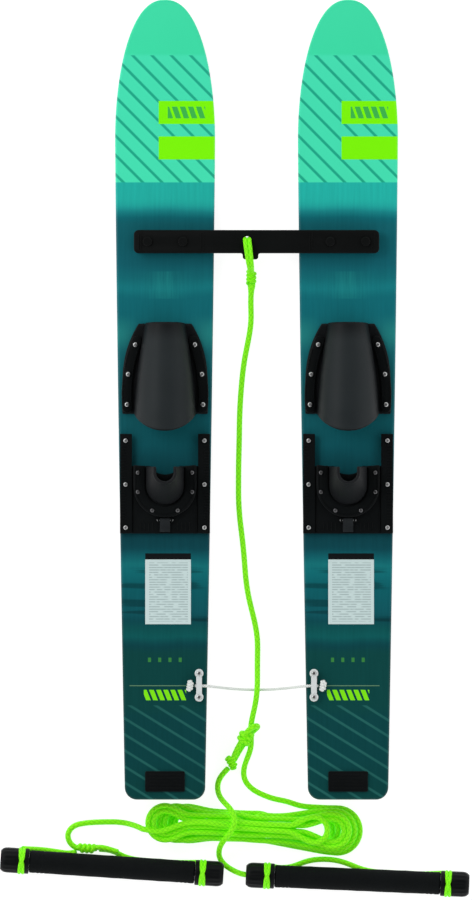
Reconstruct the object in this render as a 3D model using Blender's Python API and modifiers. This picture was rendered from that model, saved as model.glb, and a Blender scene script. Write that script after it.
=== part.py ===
"""Children's combination water ski pair with stabiliser bar, tail cord, tow rope and two handles.

The skis lie deck up on a floor at z = 0, tips towards +Y, with +X to the rider's right.
Each ski rests on its fin and on the belly where the tip starts to rise, so the decks
slope gently down towards the tips. The origin is on the floor below the middle of the pair.
All sizes are in metres.
"""

import math

import bmesh
import bpy
from mathutils import Euler, Matrix, Vector

# Ski board
GAP = 0.0003                    # clearance between touching solids
SKI_LENGTH = 1.170
SKI_SPACING = 0.2684            # between the two centrelines
SKI_THICKNESS = 0.014
TIP_THICKNESS = 0.009
HALF_WIDEST = 0.0734
HALF_TAIL = 0.0587
SIDE_TAPER_POWER = 1.25
TIP_OUTLINE_LENGTH = 0.200      # stretch of rounded outline at the tip
TIP_OUTLINE_POWER = 2.3
TAIL_CORNER_RADIUS = 0.018
ROCKER_START = 0.880            # where the running base starts to curl up
ROCKER_RISE = 0.072

# Fin
FIN_DEPTH = 0.036
FIN_CONTACT = 0.066             # where the fin's lowest corner meets the floor, from the tail
FIN_WIDTH = 0.004
FIN_FLANGE = (0.022, 0.092, 0.003)
FIN_PLATE = (0.058, 0.030, 0.0025)
FIN_PLATE_S = 0.0264

# Stabiliser bar
BAR_LENGTH = 0.360
BAR_WIDTH = 0.034
BAR_THICKNESS = 0.010
BAR_S = 0.818
BAR_CORNER = 0.007
TAB_X = -0.0088
TAB_HALF_WIDTH = 0.0115
TAB_REACH = 0.009
ROPE_HOLE = (-0.0139, 0.8215)
ROPE_HOLE_RADIUS = 0.0065
PAD = (0.084, 0.032, 0.008)
SCREW_OFFSET = 0.026            # each way from a ski's centreline
SCREW_RADIUS = 0.003
SCREW_HOLE_RADIUS = 0.0033
SCREW_HEAD = (0.0068, 0.0035)
SCREW_DEPTH = 0.008             # how far a screw goes into the ski

# Toe piece
TOE_FRONT = 0.697
TOE_REAR = 0.567
TOE_TONGUE = 0.027              # how far the crown reaches back past the sides
TOE_WALL = 0.0035
TOE_HALF_REAR = 0.0415
TOE_HALF_FRONT = 0.0260
TOE_FLANGE_REAR = 0.0615
TOE_FLANGE_FRONT = 0.0380
TOE_HEIGHT_REAR = 0.060
TOE_HEIGHT_FRONT = 0.034
TOE_COLUMNS = 14                # of the shell's grid, with this many in each flange
TOE_FLANGE_COLUMNS = 2
TOE_SCREWS = ((0.0436, 0.667), (0.0540, 0.6235), (0.0557, 0.579))
TOE_PLATE_HALF = 0.0075
TOE_PLATE_THICKNESS = 0.0045

# Heel piece, in its own frame: s from the carriage's rear edge, height from the deck
HEEL_REAR = 0.390
RAIL_LENGTH = 0.146
RAIL_OUTER = 0.066
RAIL_INNER = 0.0518
RAIL_LIP = 0.0485
RAIL_HEIGHT = 0.0088
CARRIAGE_HALF = 0.0512
CARRIAGE_LENGTH = 0.099
CARRIAGE_THICKNESS = 0.006
NOTCH_RADIUS = 0.021
NOTCH_CENTRE = 0.093
CUP_WALL = 0.0035
CUP_HEIGHT = 0.062
CUP_BASE = (0.0245, 0.0445, 0.097)      # half width, rear and front of the inner wall at its foot
CUP_RIM = (0.0125, 0.0740, 0.094)       # the same at the rim
CUP_FLANGE = (0.0450, 0.0245, 0.099)    # and at the flange's edge
CLAMP_INNER = (0.0292, 0.0395, 0.099)
CLAMP_OUTER = (0.0460, 0.0235, 0.099)
CLAMP_THICKNESS = 0.0045
SLIDE_TRAVEL = 0.042

# Heel lock lever, which turns on a pin in two lugs on the carriage
LEVER_PIN_S = 0.0195
LEVER_KNUCKLE = 0.0032
LEVER_HALF_WIDTH = 0.0075
LEVER_REACH = 0.0175
LEVER_THICKNESS = 0.003
PIN_RADIUS = 0.0015
PIN_HOLE_RADIUS = 0.0018
LUG_INNER = 0.0080
LUG_OUTER = 0.0110
PIN_HALF_LENGTH = 0.0120

# Tail cord and its cleats
CLEAT_U = 0.050                 # from a ski's centreline, towards the other ski
CLEAT_S = 0.1673
CLEAT_HALF_PITCH = 0.0175
CLEAT_RING = 0.0064
CLEAT_HOLE = 0.0024
CLEAT_HEIGHT = 0.008
CLEAT_WAIST = 0.0025
CLEAT_TUNNEL = 0.0052
STOPPER = (0.0068, 0.0105, 0.0068)
STOPPER_U = 0.0367
STOPPER_S = 0.1665
TAIL_CORD_DIAMETER = 0.004

# Rope and handles
ROPE_DIAMETER = 0.008
ROPE_Z = 0.5 * ROPE_DIAMETER + GAP
HANDLE_LENGTH = 0.328
HANDLE_TUBE = (0.0105, 0.0125)
GRIP_RADIUS = 0.0167
CAP_RADIUS = 0.0185
CAP_LENGTH = 0.042
CAP_GROOVE_RADIUS = 0.0142
CAP_GROOVE = (0.0065, 0.0155)   # along the cap, from its inner end
CAP_MOUTH_RADIUS = 0.0056
CAP_MOUTH_LENGTH = 0.004
RING_WIRE = 0.0038
RING_RADIUS = CAP_GROOVE_RADIUS + GAP + RING_WIRE
HANDLE_Z = RING_RADIUS + RING_WIRE + GAP
HANDLES = {                     # name: (centre x, centre y, turn about Z)
    "left": (-0.2120, -0.6851, math.radians(-3.8)),
    "right": (0.1482, -0.7040, math.radians(-2.5)),
}

# Hank of spare tow rope
HANK_LEFT = Vector((-0.1636, -0.6190))
HANK_RIGHT = Vector((0.1562, -0.6340))
HANK_HALF_LEFT = 0.029
HANK_HALF_RIGHT = 0.037
HANK_PINCH = (0.353, 0.0087, 0.18)      # place along the hank, depth and width of the waist
HANK_HEIGHT = 0.034
HANK_ROUND = 0.010

ROUND_STEPS = 16


# Scene and materials

def clear_scene():
    for obj in list(bpy.data.objects):
        bpy.data.objects.remove(obj, do_unlink=True)


def make_collection(name):
    collection = bpy.data.collections.new(name)
    bpy.context.scene.collection.children.link(collection)
    return collection


def make_material(name, colour, roughness, metallic=0.0):
    material = bpy.data.materials.new(name)
    material.use_nodes = True
    shader = material.node_tree.nodes["Principled BSDF"]
    shader.inputs["Base Color"].default_value = (*colour, 1.0)
    shader.inputs["Roughness"].default_value = roughness
    shader.inputs["Metallic"].default_value = metallic
    material.diffuse_color = (*colour, 1.0)
    return material


def make_empty(name, parent=None, location=(0, 0, 0), rotation=(0, 0, 0)):
    empty = bpy.data.objects.new(name, None)
    empty.empty_display_size = 0.03
    PARTS.objects.link(empty)
    empty.parent = parent
    empty.location = location
    empty.rotation_euler = rotation
    return empty


def add_part(name, mesh, material, parent=None, location=(0, 0, 0), rotation=(0, 0, 0)):
    """Put a finished mesh in the model as one named piece."""
    mesh.materials.clear()
    mesh.materials.append(material)
    obj = bpy.data.objects.new(name, mesh)
    PARTS.objects.link(obj)
    obj.parent = parent
    obj.location = location
    obj.rotation_euler = rotation
    return obj


# Solids

def tidy_mesh(mesh):
    """Weld a closed mesh, turn its faces outwards and shade it."""
    shape = bmesh.new()
    shape.from_mesh(mesh)
    bmesh.ops.remove_doubles(shape, verts=shape.verts, dist=0.00001)
    bmesh.ops.recalc_face_normals(shape, faces=shape.faces)
    shape.to_mesh(mesh)
    shape.free()
    mesh.shade_smooth()
    mesh.set_sharp_from_angle(angle=math.radians(40))
    return mesh


def evaluated(obj):
    """The mesh of a helper object with its modifiers applied. The helper is removed."""
    graph = bpy.context.evaluated_depsgraph_get()
    graph.update()
    mesh = bpy.data.meshes.new_from_object(obj.evaluated_get(graph))
    mesh.transform(obj.matrix_world)
    bpy.data.objects.remove(obj, do_unlink=True)
    return tidy_mesh(mesh)


def helper(name, data, rotation=(0, 0, 0), location=(0, 0, 0)):
    obj = bpy.data.objects.new(name, data)
    PARTS.objects.link(obj)
    obj.rotation_euler = rotation
    obj.location = location
    bpy.context.view_layer.update()
    return obj


ON_DECK = (0, 0, 0)                         # outline in x and y, thickness in z
ACROSS = (math.pi / 2, 0, math.pi / 2)      # outline in y and z, thickness in x
ALONG = (math.pi / 2, 0, 0)                 # outline in x and z, thickness in y


def slab(outlines, low, high, turn=ON_DECK, rounding=0.0):
    """A flat outline, with any holes as further outlines, given its thickness."""
    curve = bpy.data.curves.new("slab", "CURVE")
    curve.dimensions = "2D"
    curve.fill_mode = "BOTH"
    curve.extrude = 0.5 * (high - low) - rounding
    curve.bevel_depth = rounding
    curve.bevel_resolution = 1
    curve.offset = -rounding
    for outline in outlines:
        spline = curve.splines.new("POLY")
        spline.points.add(len(outline) - 1)
        for point, (x, y) in zip(spline.points, outline):
            point.co = (x, y, 0, 1)
        spline.use_cyclic_u = True
    middle = Euler(turn).to_matrix() @ Vector((0, 0, 0.5 * (low + high)))
    return evaluated(helper("slab", curve, turn, middle))


def turned(profile, steps=ROUND_STEPS, closed=False):
    """A profile of (radius, height) points turned about Z, outer side first, from the top down."""
    mesh = bpy.data.meshes.new("turned")
    edges = [(i, i + 1) for i in range(len(profile) - 1)]
    if closed:
        edges.append((len(profile) - 1, 0))
    mesh.from_pydata([(r, 0, z) for r, z in profile], edges, [])
    obj = helper("turned", mesh)
    screw = obj.modifiers.new("screw", "SCREW")
    screw.steps = screw.render_steps = steps
    screw.use_merge_vertices = True
    screw.merge_threshold = 0.00001
    return evaluated(obj)


def box(low, high):
    shape = bmesh.new()
    bmesh.ops.create_cube(shape, size=1.0)
    low, high = Vector(low), Vector(high)
    for vert in shape.verts:
        vert.co = Vector(c * (h - l) + 0.5 * (h + l) for c, l, h in zip(vert.co, low, high))
    mesh = bpy.data.meshes.new("box")
    shape.to_mesh(mesh)
    shape.free()
    return mesh


def cylinder(radius, low, high, axis="Z", centre=(0, 0, 0), steps=ROUND_STEPS):
    shape = bmesh.new()
    bmesh.ops.create_cone(shape, cap_ends=True, segments=steps, radius1=radius, radius2=radius, depth=high - low)
    turn = Matrix.Rotation(math.pi / 2, 4, "Y") if axis == "X" else Matrix.Identity(4)
    shift = Matrix.Translation((0, 0, 0.5 * (low + high)))
    bmesh.ops.transform(shape, matrix=Matrix.Translation(centre) @ turn @ shift, verts=shape.verts)
    mesh = bpy.data.meshes.new("cylinder")
    shape.to_mesh(mesh)
    shape.free()
    return mesh


def ellipsoid(radii, centre=(0, 0, 0), turn=0.0):
    shape = bmesh.new()
    bmesh.ops.create_uvsphere(shape, u_segments=12, v_segments=8, radius=1.0)
    place = Matrix.Translation(centre) @ Matrix.Rotation(turn, 4, "Z") @ Matrix.Diagonal((*radii, 1.0))
    bmesh.ops.transform(shape, matrix=place, verts=shape.verts)
    mesh = bpy.data.meshes.new("ellipsoid")
    shape.to_mesh(mesh)
    shape.free()
    return tidy_mesh(mesh)


def combined(mesh, tools, operation, crosses_itself=False):
    """A mesh with others cut from it, joined to it or intersected with it."""
    obj = helper("body", mesh)
    helpers = [helper("tool", tool) for tool in tools]
    for tool in helpers:
        boolean = obj.modifiers.new(operation, "BOOLEAN")
        boolean.operation = operation
        boolean.object = tool
        boolean.use_self = crosses_itself
    result = evaluated(obj)
    for tool in helpers:
        bpy.data.objects.remove(tool, do_unlink=True)
    return result


def sheet(columns, rows, point, thickness):
    """A shell: a grid whose point at (across, along), both 0 to 1, is given, thickened outwards."""
    shape = bmesh.new()
    bmesh.ops.create_grid(shape, x_segments=columns, y_segments=rows, size=1.0)
    for vert in shape.verts:
        vert.co = Vector(point(0.5 + 0.5 * vert.co.x, 0.5 + 0.5 * vert.co.y))
    mesh = bpy.data.meshes.new("sheet")
    shape.to_mesh(mesh)
    shape.free()
    obj = helper("sheet", mesh)
    solidify = obj.modifiers.new("wall", "SOLIDIFY")
    solidify.thickness = thickness
    solidify.offset = 1.0
    solidify.use_even_offset = True
    return evaluated(obj)


def smooth_route(points, step):
    """Evenly spaced points on a smooth curve through the route's own points."""
    route = [Vector(p) for p in points]
    route = [2 * route[0] - route[1], *route, 2 * route[-1] - route[-2]]
    fine = []
    for a, b, c, d in zip(route, route[1:], route[2:], route[3:]):
        for i in range(12):
            t = i / 12
            fine.append(0.5 * (2 * b + (c - a) * t + (2 * a - 5 * b + 4 * c - d) * t ** 2
                               + (3 * b - a - 3 * c + d) * t ** 3))
    fine.append(route[-2])
    reach = [0.0]
    for a, b in zip(fine, fine[1:]):
        reach.append(reach[-1] + (b - a).length)
    count = max(2, round(reach[-1] / step))
    result, i = [], 0
    for k in range(count + 1):
        want = reach[-1] * k / count
        while i < len(fine) - 2 and reach[i + 1] < want:
            i += 1
        span = reach[i + 1] - reach[i]
        result.append(fine[i].lerp(fine[i + 1], (want - reach[i]) / span if span else 0.0))
    return result


def tube_curve(points, diameter, step):
    """A round cord along a smooth route, as a curve with filled caps."""
    curve = bpy.data.curves.new("cord", "CURVE")
    curve.dimensions = "3D"
    curve.bevel_depth = 0.5 * diameter
    curve.bevel_resolution = 2
    curve.use_fill_caps = True
    route = smooth_route(points, step)
    spline = curve.splines.new("POLY")
    spline.points.add(len(route) - 1)
    for point, place in zip(spline.points, route):
        point.co = (*place, 1)
    return curve


def add_cord(name, points, diameter, material):
    curve = tube_curve(points, diameter, 2.5 * diameter)
    curve.materials.append(material)
    obj = bpy.data.objects.new(name, curve)
    PARTS.objects.link(obj)
    return obj


def rope_mesh(points):
    return evaluated(helper("rope", tube_curve(points, ROPE_DIAMETER, 0.007)))


# Outlines

def arc(centre, radius, start, end, steps):
    """Points on an arc, with angles in degrees."""
    angles = [math.radians(start + (end - start) * i / steps) for i in range(steps + 1)]
    return [(centre[0] + radius * math.cos(a), centre[1] + radius * math.sin(a)) for a in angles]


def circle(centre, radius, steps=ROUND_STEPS):
    return arc(centre, radius, 0, 360, steps)[:-1]


def rounded_rectangle(centre, size, radius, steps=3):
    cx, cy = centre
    dx, dy = 0.5 * size[0] - radius, 0.5 * size[1] - radius
    corners = ((dx, dy, 0), (-dx, dy, 90), (-dx, -dy, 180), (dx, -dy, 270))
    points = []
    for x, y, turn in corners:
        points += arc((cx + x, cy + y), radius, turn, turn + 90, steps)
    return points


def horseshoe(shape, along, arm=0.2):
    """A point on a U that opens towards +Y: shape is (half width, rear, front), along runs 0 to 1."""
    half, rear, front = shape
    bend = rear + half
    if along < arm:
        return -half, front + (bend - front) * along / arm
    if along > 1 - arm:
        return half, front + (bend - front) * (1 - along) / arm
    turn = math.pi * (along - arm) / (1 - 2 * arm)
    return -half * math.cos(turn), bend - half * math.sin(turn)


def side_half_width(s):
    """Half the ski's width between its tail and its widest station."""
    widest = SKI_LENGTH - TIP_OUTLINE_LENGTH
    return HALF_WIDEST - (HALF_WIDEST - HALF_TAIL) * ((widest - s) / widest) ** SIDE_TAPER_POWER


def ski_outline():
    widest = SKI_LENGTH - TIP_OUTLINE_LENGTH
    corner = TAIL_CORNER_RADIUS
    half = [(0.0, 0.0)]
    half += arc((side_half_width(corner) - corner, corner), corner, -90, 0, 4)
    half += [(side_half_width(s), s) for s in (widest * (0.1 + 0.09 * i) for i in range(10))]
    for i in range(15):
        turn = math.radians(90 * i / 15)
        half.append((HALF_WIDEST * math.cos(turn) ** (2 / TIP_OUTLINE_POWER),
                     widest + TIP_OUTLINE_LENGTH * math.sin(turn)))
    return half + [(0.0, SKI_LENGTH)] + [(-x, y) for x, y in reversed(half[1:])]


def rocker(s):
    """Height of the running base above its flat part."""
    return ROCKER_RISE * (max(0.0, s - ROCKER_START) / (SKI_LENGTH - ROCKER_START)) ** 2


def rest_attitude():
    """The nose-down slope and the height of the tail for a ski resting on its fin and its belly."""
    curl = ROCKER_RISE / (SKI_LENGTH - ROCKER_START) ** 2
    reach = ROCKER_START - FIN_CONTACT
    past = math.sqrt(reach ** 2 + FIN_DEPTH / curl) - reach
    slope = math.atan(2 * curl * past)
    return slope, FIN_CONTACT * math.sin(slope) + FIN_DEPTH * math.cos(slope)


# Ski, fin and bar

def ski_mesh():
    """The side profile given the full width, then trimmed to the plan outline."""
    steps = 12
    past_tip = SKI_LENGTH + 0.004
    stations = [ROCKER_START + (past_tip - ROCKER_START) * i / steps for i in range(steps + 1)]

    def thickness(s):
        curled = max(0.0, s - ROCKER_START) / (SKI_LENGTH - ROCKER_START)
        return SKI_THICKNESS + (TIP_THICKNESS - SKI_THICKNESS) * curled

    base = [(-0.004, 0.0)] + [(s, rocker(s)) for s in stations]
    deck = [(s, rocker(s) + thickness(s)) for s in reversed(stations)] + [(-0.004, SKI_THICKNESS)]
    board = slab([base + deck], -0.09, 0.09, ACROSS)
    plan = slab([ski_outline()], -0.02, 0.12)
    board = combined(board, [plan], "INTERSECT")
    drill = SKI_THICKNESS - SCREW_DEPTH - 0.001
    holes = [cylinder(SCREW_HOLE_RADIUS, drill, SKI_THICKNESS + 0.01, centre=(u, BAR_S, 0))
             for u in (-SCREW_OFFSET, SCREW_OFFSET)]
    return combined(board, holes, "DIFFERENCE")


def fin_mesh():
    """A blade on a thin flange, which lies against the running base."""
    width, length, thickness = FIN_FLANGE
    flange = box((-0.5 * width, 0.012, -GAP - thickness), (0.5 * width, 0.012 + length, -GAP))
    top = -GAP - 0.5 * thickness
    blade = [(0.016, top), (0.020, -0.010), (0.026, -0.022), (0.034, -FIN_DEPTH + 0.003), (0.038, -FIN_DEPTH),
             (FIN_CONTACT, -FIN_DEPTH), (0.076, -FIN_DEPTH + 0.007), (0.090, -0.016), (0.100, top)]
    return combined(flange, [slab([blade], -0.5 * FIN_WIDTH, 0.5 * FIN_WIDTH, ACROSS)], "UNION")


def bar_mesh():
    """The bar with its rope tab, the rope hole and four screw holes."""
    outline = rounded_rectangle((0, BAR_S), (BAR_LENGTH, BAR_WIDTH), BAR_CORNER)
    rear = BAR_S - 0.5 * BAR_WIDTH
    left, right = TAB_X - TAB_HALF_WIDTH, TAB_X + TAB_HALF_WIDTH
    tab = [(left - 0.003, rear), (left, rear - 0.003), (left + 0.002, rear - TAB_REACH),
           (right - 0.002, rear - TAB_REACH), (right, rear - 0.003), (right + 0.003, rear)]
    last_corner = 12
    outline = outline[:last_corner] + tab + outline[last_corner:]
    holes = [circle(ROPE_HOLE, ROPE_HOLE_RADIUS)]
    for ski in (-0.5, 0.5):
        for offset in (-SCREW_OFFSET, SCREW_OFFSET):
            holes.append(circle((ski * SKI_SPACING + offset, BAR_S), SCREW_HOLE_RADIUS, 12))
    return slab([outline, *holes], 0.0, BAR_THICKNESS)


def pad_mesh():
    length, width, height = PAD
    outline = rounded_rectangle((0, BAR_S), (length, width), 0.006)
    holes = [circle((offset, BAR_S), SCREW_HOLE_RADIUS, 12) for offset in (-SCREW_OFFSET, SCREW_OFFSET)]
    return slab([outline, *holes], 0.0, height)


def screw_mesh():
    """A flat-headed screw through bar and pad into the ski, with its origin under the head."""
    head_radius, head_height = SCREW_HEAD
    foot = -(BAR_THICKNESS + PAD[2] + 3 * GAP + SCREW_DEPTH)
    return turned([(0, head_height), (head_radius - 0.001, head_height), (head_radius, head_height - 0.001),
                   (head_radius, 0), (SCREW_RADIUS, 0), (SCREW_RADIUS, foot), (0, foot)])


def build_boards(frames, bar_frame, plastic, board, steel):
    ski, fin, plate, pad = ski_mesh(), fin_mesh(), fin_plate_mesh(), pad_mesh()
    for side, frame in frames.items():
        add_part(f"ski_{side}", ski, board, frame)
        add_part(f"fin_{side}", fin, plastic, frame)
        add_part(f"fin_plate_{side}", plate, plastic, frame, (0, 0, SKI_THICKNESS + GAP))
        add_part(f"bar_pad_{side}", pad, plastic, frame, (0, 0, SKI_THICKNESS + GAP))
    bar_low = SKI_THICKNESS + PAD[2] + 2 * GAP
    add_part("stabilizer_bar", bar_mesh(), plastic, bar_frame, (0, 0, bar_low))
    screw = screw_mesh()
    for side, frame in frames.items():
        outward = -1 if side == "left" else 1
        for place, way in (("outer", outward), ("inner", -outward)):
            add_part(f"bar_screw_{side}_{place}", screw, steel, frame,
                     (way * SCREW_OFFSET, BAR_S, bar_low + BAR_THICKNESS + GAP))


def fin_plate_mesh():
    length, width, thickness = FIN_PLATE
    return slab([rounded_rectangle((0, FIN_PLATE_S), (length, width), 0.002)], 0.0, thickness)


# Toe piece

def toe_share(s):
    """0 at the rear of the toe piece's sides, 1 at its front edge."""
    return max(0.0, (s - TOE_REAR) / (TOE_FRONT - TOE_REAR))


def toe_point(across, along):
    """The inner face of the rubber arch with its two side flanges."""
    flange = TOE_FLANGE_COLUMNS / TOE_COLUMNS
    crown = 0.0
    if flange < across < 1 - flange:
        crown = math.sin(math.pi * (across - flange) / (1 - 2 * flange))
    rear = TOE_REAR - TOE_TONGUE * crown ** 1.5
    s = rear + (TOE_FRONT - rear) * along
    share = toe_share(s)
    foot = TOE_HALF_REAR + (TOE_HALF_FRONT - TOE_HALF_REAR) * share ** 1.6
    edge_share = max(0.0, (s - 0.600) / (TOE_FRONT - 0.600))
    edge = TOE_FLANGE_REAR + (TOE_FLANGE_FRONT - TOE_FLANGE_REAR) * edge_share ** 2.6
    height = TOE_HEIGHT_REAR + (TOE_HEIGHT_FRONT - TOE_HEIGHT_REAR) * share ** 1.3
    if across <= flange:
        return -edge + (edge - foot) * across / flange, s, 0.0
    if across >= 1 - flange:
        return edge - (edge - foot) * (1 - across) / flange, s, 0.0
    turn = math.pi * (1 - (across - flange) / (1 - 2 * flange))
    return foot * math.copysign(abs(math.cos(turn)) ** 0.9, math.cos(turn)), s, height * math.sin(turn) ** 0.8


def toe_plate_mesh(way):
    """A curved clamping strip whose centreline runs through its three screws."""
    (u0, s0), (u1, s1), (u2, s2) = TOE_SCREWS

    def centre(s):
        return (u0 * (s - s1) * (s - s2) / ((s0 - s1) * (s0 - s2))
                + u1 * (s - s0) * (s - s2) / ((s1 - s0) * (s1 - s2))
                + u2 * (s - s0) * (s - s1) / ((s2 - s0) * (s2 - s1)))

    front, rear, steps, nudge = 0.6725, 0.5745, 8, 0.0005
    left, right = [], []
    for i in range(steps + 1):
        s = rear + (front - rear) * i / steps
        lean = (centre(s + nudge) - centre(s - nudge)) / (2 * nudge)
        across = Vector((1.0, -lean)).normalized() * TOE_PLATE_HALF
        left.append((centre(s) - across.x, s - across.y))
        right.append((centre(s) + across.x, s + across.y))
    lean = math.degrees(math.atan2(right[-1][1] - left[-1][1], right[-1][0] - left[-1][0]))
    nose = arc((centre(front), front), TOE_PLATE_HALF, lean, lean + 180, 4)[1:-1]
    tail_lean = math.degrees(math.atan2(right[0][1] - left[0][1], right[0][0] - left[0][0]))
    tail = arc((centre(rear), rear), TOE_PLATE_HALF, tail_lean + 180, tail_lean + 360, 4)[1:-1]
    outline = left[::-1] + tail + right + nose
    return slab([[(way * u, s) for u, s in outline]], 0.0, TOE_PLATE_THICKNESS)


def build_toe(side, deck, rubber, plastic):
    add_part(f"toe_overlay_{side}", sheet(TOE_COLUMNS, 7, toe_point, TOE_WALL), rubber, deck, (0, 0, GAP))
    outward = -1 if side == "left" else 1
    for place, way in (("outer", outward), ("inner", -outward)):
        add_part(f"toe_plate_{side}_{place}", toe_plate_mesh(way), plastic, deck,
                 (0, 0, TOE_WALL + 2 * GAP))


# Heel piece

def rail_mesh(way):
    """An L-shaped rail whose lip holds the carriage down."""
    lip = CARRIAGE_THICKNESS + GAP
    outline = [(RAIL_OUTER, 0), (RAIL_OUTER, RAIL_HEIGHT - 0.001), (RAIL_OUTER - 0.001, RAIL_HEIGHT),
               (RAIL_LIP, RAIL_HEIGHT), (RAIL_LIP, lip), (RAIL_INNER, lip), (RAIL_INNER, 0)]
    return slab([[(way * x, z) for x, z in outline]], -RAIL_LENGTH, 0.0, ALONG)


def carriage_mesh():
    """The sliding plate with its open notch, and the two lugs that hold the lever's pin."""
    notch = arc((0, NOTCH_CENTRE), NOTCH_RADIUS, 180, 360, 10)
    outline = [(-CARRIAGE_HALF, 0), (-CARRIAGE_HALF, CARRIAGE_LENGTH), (-NOTCH_RADIUS, CARRIAGE_LENGTH)]
    outline += notch
    outline += [(NOTCH_RADIUS, CARRIAGE_LENGTH), (CARRIAGE_HALF, CARRIAGE_LENGTH), (CARRIAGE_HALF, 0)]
    plate = slab([outline], 0.0, CARRIAGE_THICKNESS)
    low, high = CARRIAGE_THICKNESS - 0.002, pin_height() + 0.0035
    lugs = []
    for way in (-1, 1):
        near, far = sorted((way * LUG_INNER, way * LUG_OUTER))
        lugs.append(box((near, LEVER_PIN_S - 0.0035, low), (far, LEVER_PIN_S + 0.0035, high)))
    plate = combined(plate, lugs, "UNION")
    bore = cylinder(PIN_HOLE_RADIUS, -0.02, 0.02, "X", (0, LEVER_PIN_S, pin_height()), 12)
    return combined(plate, [bore], "DIFFERENCE")


def pin_height():
    return CARRIAGE_THICKNESS + GAP + LEVER_KNUCKLE


def cup_point(along, up):
    """The inner face of the heel cup: a flange, then a wall that leans in towards its rim."""
    flange = 1 / 7
    if up < flange:
        share = up / flange
        shape = [a + (b - a) * share for a, b in zip(CUP_FLANGE, CUP_BASE)]
        return (*horseshoe(shape, along), 0.0)
    share = (up - flange) / (1 - flange)
    base, rim = CUP_BASE, CUP_RIM
    shape = (base[0] + (rim[0] - base[0]) * share ** 1.6,
             base[1] + (rim[1] - base[1]) * share ** 1.4,
             base[2] + (rim[2] - base[2]) * share)
    return (*horseshoe(shape, along), CUP_HEIGHT * share)


def clamp_mesh():
    steps = 16
    outer = [horseshoe(CLAMP_OUTER, i / steps) for i in range(steps + 1)]
    inner = [horseshoe(CLAMP_INNER, i / steps) for i in range(steps + 1)]
    return slab([outer + inner[::-1]], 0.0, CLAMP_THICKNESS)


def lever_mesh():
    """A finger lever round its pin, with its origin on the pin's axis."""
    bottom = -LEVER_KNUCKLE
    outline = arc((0, 0), LEVER_KNUCKLE, -90, 120, 8)
    outline += [(-LEVER_REACH + 0.005, bottom + LEVER_THICKNESS), (-LEVER_REACH, bottom + LEVER_THICKNESS + 0.0015),
                (-LEVER_REACH, bottom + 0.0015), (-LEVER_REACH + 0.004, bottom)]
    hole = circle((0, 0), PIN_HOLE_RADIUS, 12)
    return slab([outline, hole], -LEVER_HALF_WIDTH, LEVER_HALF_WIDTH, ACROSS)


def build_heel(side, deck, rubber, plastic, steel):
    outward = -1 if side == "left" else 1
    for place, way in (("outer", outward), ("inner", -outward)):
        add_part(f"heel_rail_{side}_{place}", rail_mesh(way), plastic, deck, (0, HEEL_REAR, GAP))
    slide = make_empty(f"heel_slide_{side}_axis", deck, (0, HEEL_REAR, GAP))
    cup_low = CARRIAGE_THICKNESS + GAP
    add_part(f"heel_carriage_{side}", carriage_mesh(), plastic, slide)
    add_part(f"heel_cup_{side}", sheet(16, 7, cup_point, CUP_WALL), rubber, slide, (0, 0, cup_low))
    add_part(f"heel_clamp_{side}", clamp_mesh(), plastic, slide, (0, 0, cup_low + CUP_WALL + GAP))
    hinge = make_empty(f"heel_lock_{side}_axis", slide, (0, LEVER_PIN_S, pin_height()))
    add_part(f"heel_lock_lever_{side}", lever_mesh(), plastic, hinge)
    add_part(f"heel_lock_pin_{side}", cylinder(PIN_RADIUS, -PIN_HALF_LENGTH, PIN_HALF_LENGTH, "X", steps=12),
             steel, hinge)


# Tail cord

def cleat_mesh():
    """Two screw rings joined by a bridge, with a tunnel for the cord under the bridge."""
    near = math.degrees(math.asin(CLEAT_WAIST / CLEAT_RING))
    outline = arc((0, CLEAT_HALF_PITCH), CLEAT_RING, -90 + near, 270 - near, 12)
    outline += arc((0, -CLEAT_HALF_PITCH), CLEAT_RING, 90 + near, 450 - near, 12)
    holes = [circle((0, way * CLEAT_HALF_PITCH), CLEAT_HOLE, 10) for way in (-1, 1)]
    body = slab([outline, *holes], 0.0, CLEAT_HEIGHT)
    tunnel = box((-0.02, -0.008, -0.002), (0.02, 0.008, CLEAT_TUNNEL))
    return combined(body, [tunnel], "DIFFERENCE")


TAIL_CORD_ROUTE = (
    (-0.0899, -0.4191, 0.0481), (-0.0842, -0.4191, 0.0482), (-0.0770, -0.4192, 0.0483),
    (-0.0705, -0.4196, 0.0481), (-0.0635, -0.4204, 0.0452), (-0.0540, -0.4216, 0.0375),
    (-0.0380, -0.4235, 0.0250), (-0.0190, -0.4250, 0.0163), (0.0, -0.4255, 0.0135),
    (0.0190, -0.4250, 0.0163), (0.0380, -0.4235, 0.0250), (0.0540, -0.4216, 0.0375),
    (0.0635, -0.4204, 0.0452), (0.0705, -0.4196, 0.0481), (0.0770, -0.4192, 0.0483),
    (0.0842, -0.4191, 0.0482), (0.0899, -0.4191, 0.0481),
)


def build_tail_cord(decks, white, cord):
    cleat = cleat_mesh()
    for side, deck in decks.items():
        inward = 1 if side == "left" else -1
        add_part(f"tail_cleat_{side}", cleat, white, deck, (inward * CLEAT_U, CLEAT_S, GAP))
        add_part(f"tail_cord_knot_{side}", ellipsoid(STOPPER), cord, deck,
                 (inward * STOPPER_U, STOPPER_S, GAP + STOPPER[2]))
    add_cord("tail_cord", TAIL_CORD_ROUTE, TAIL_CORD_DIAMETER, cord)


# Tow rope, in world coordinates

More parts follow.
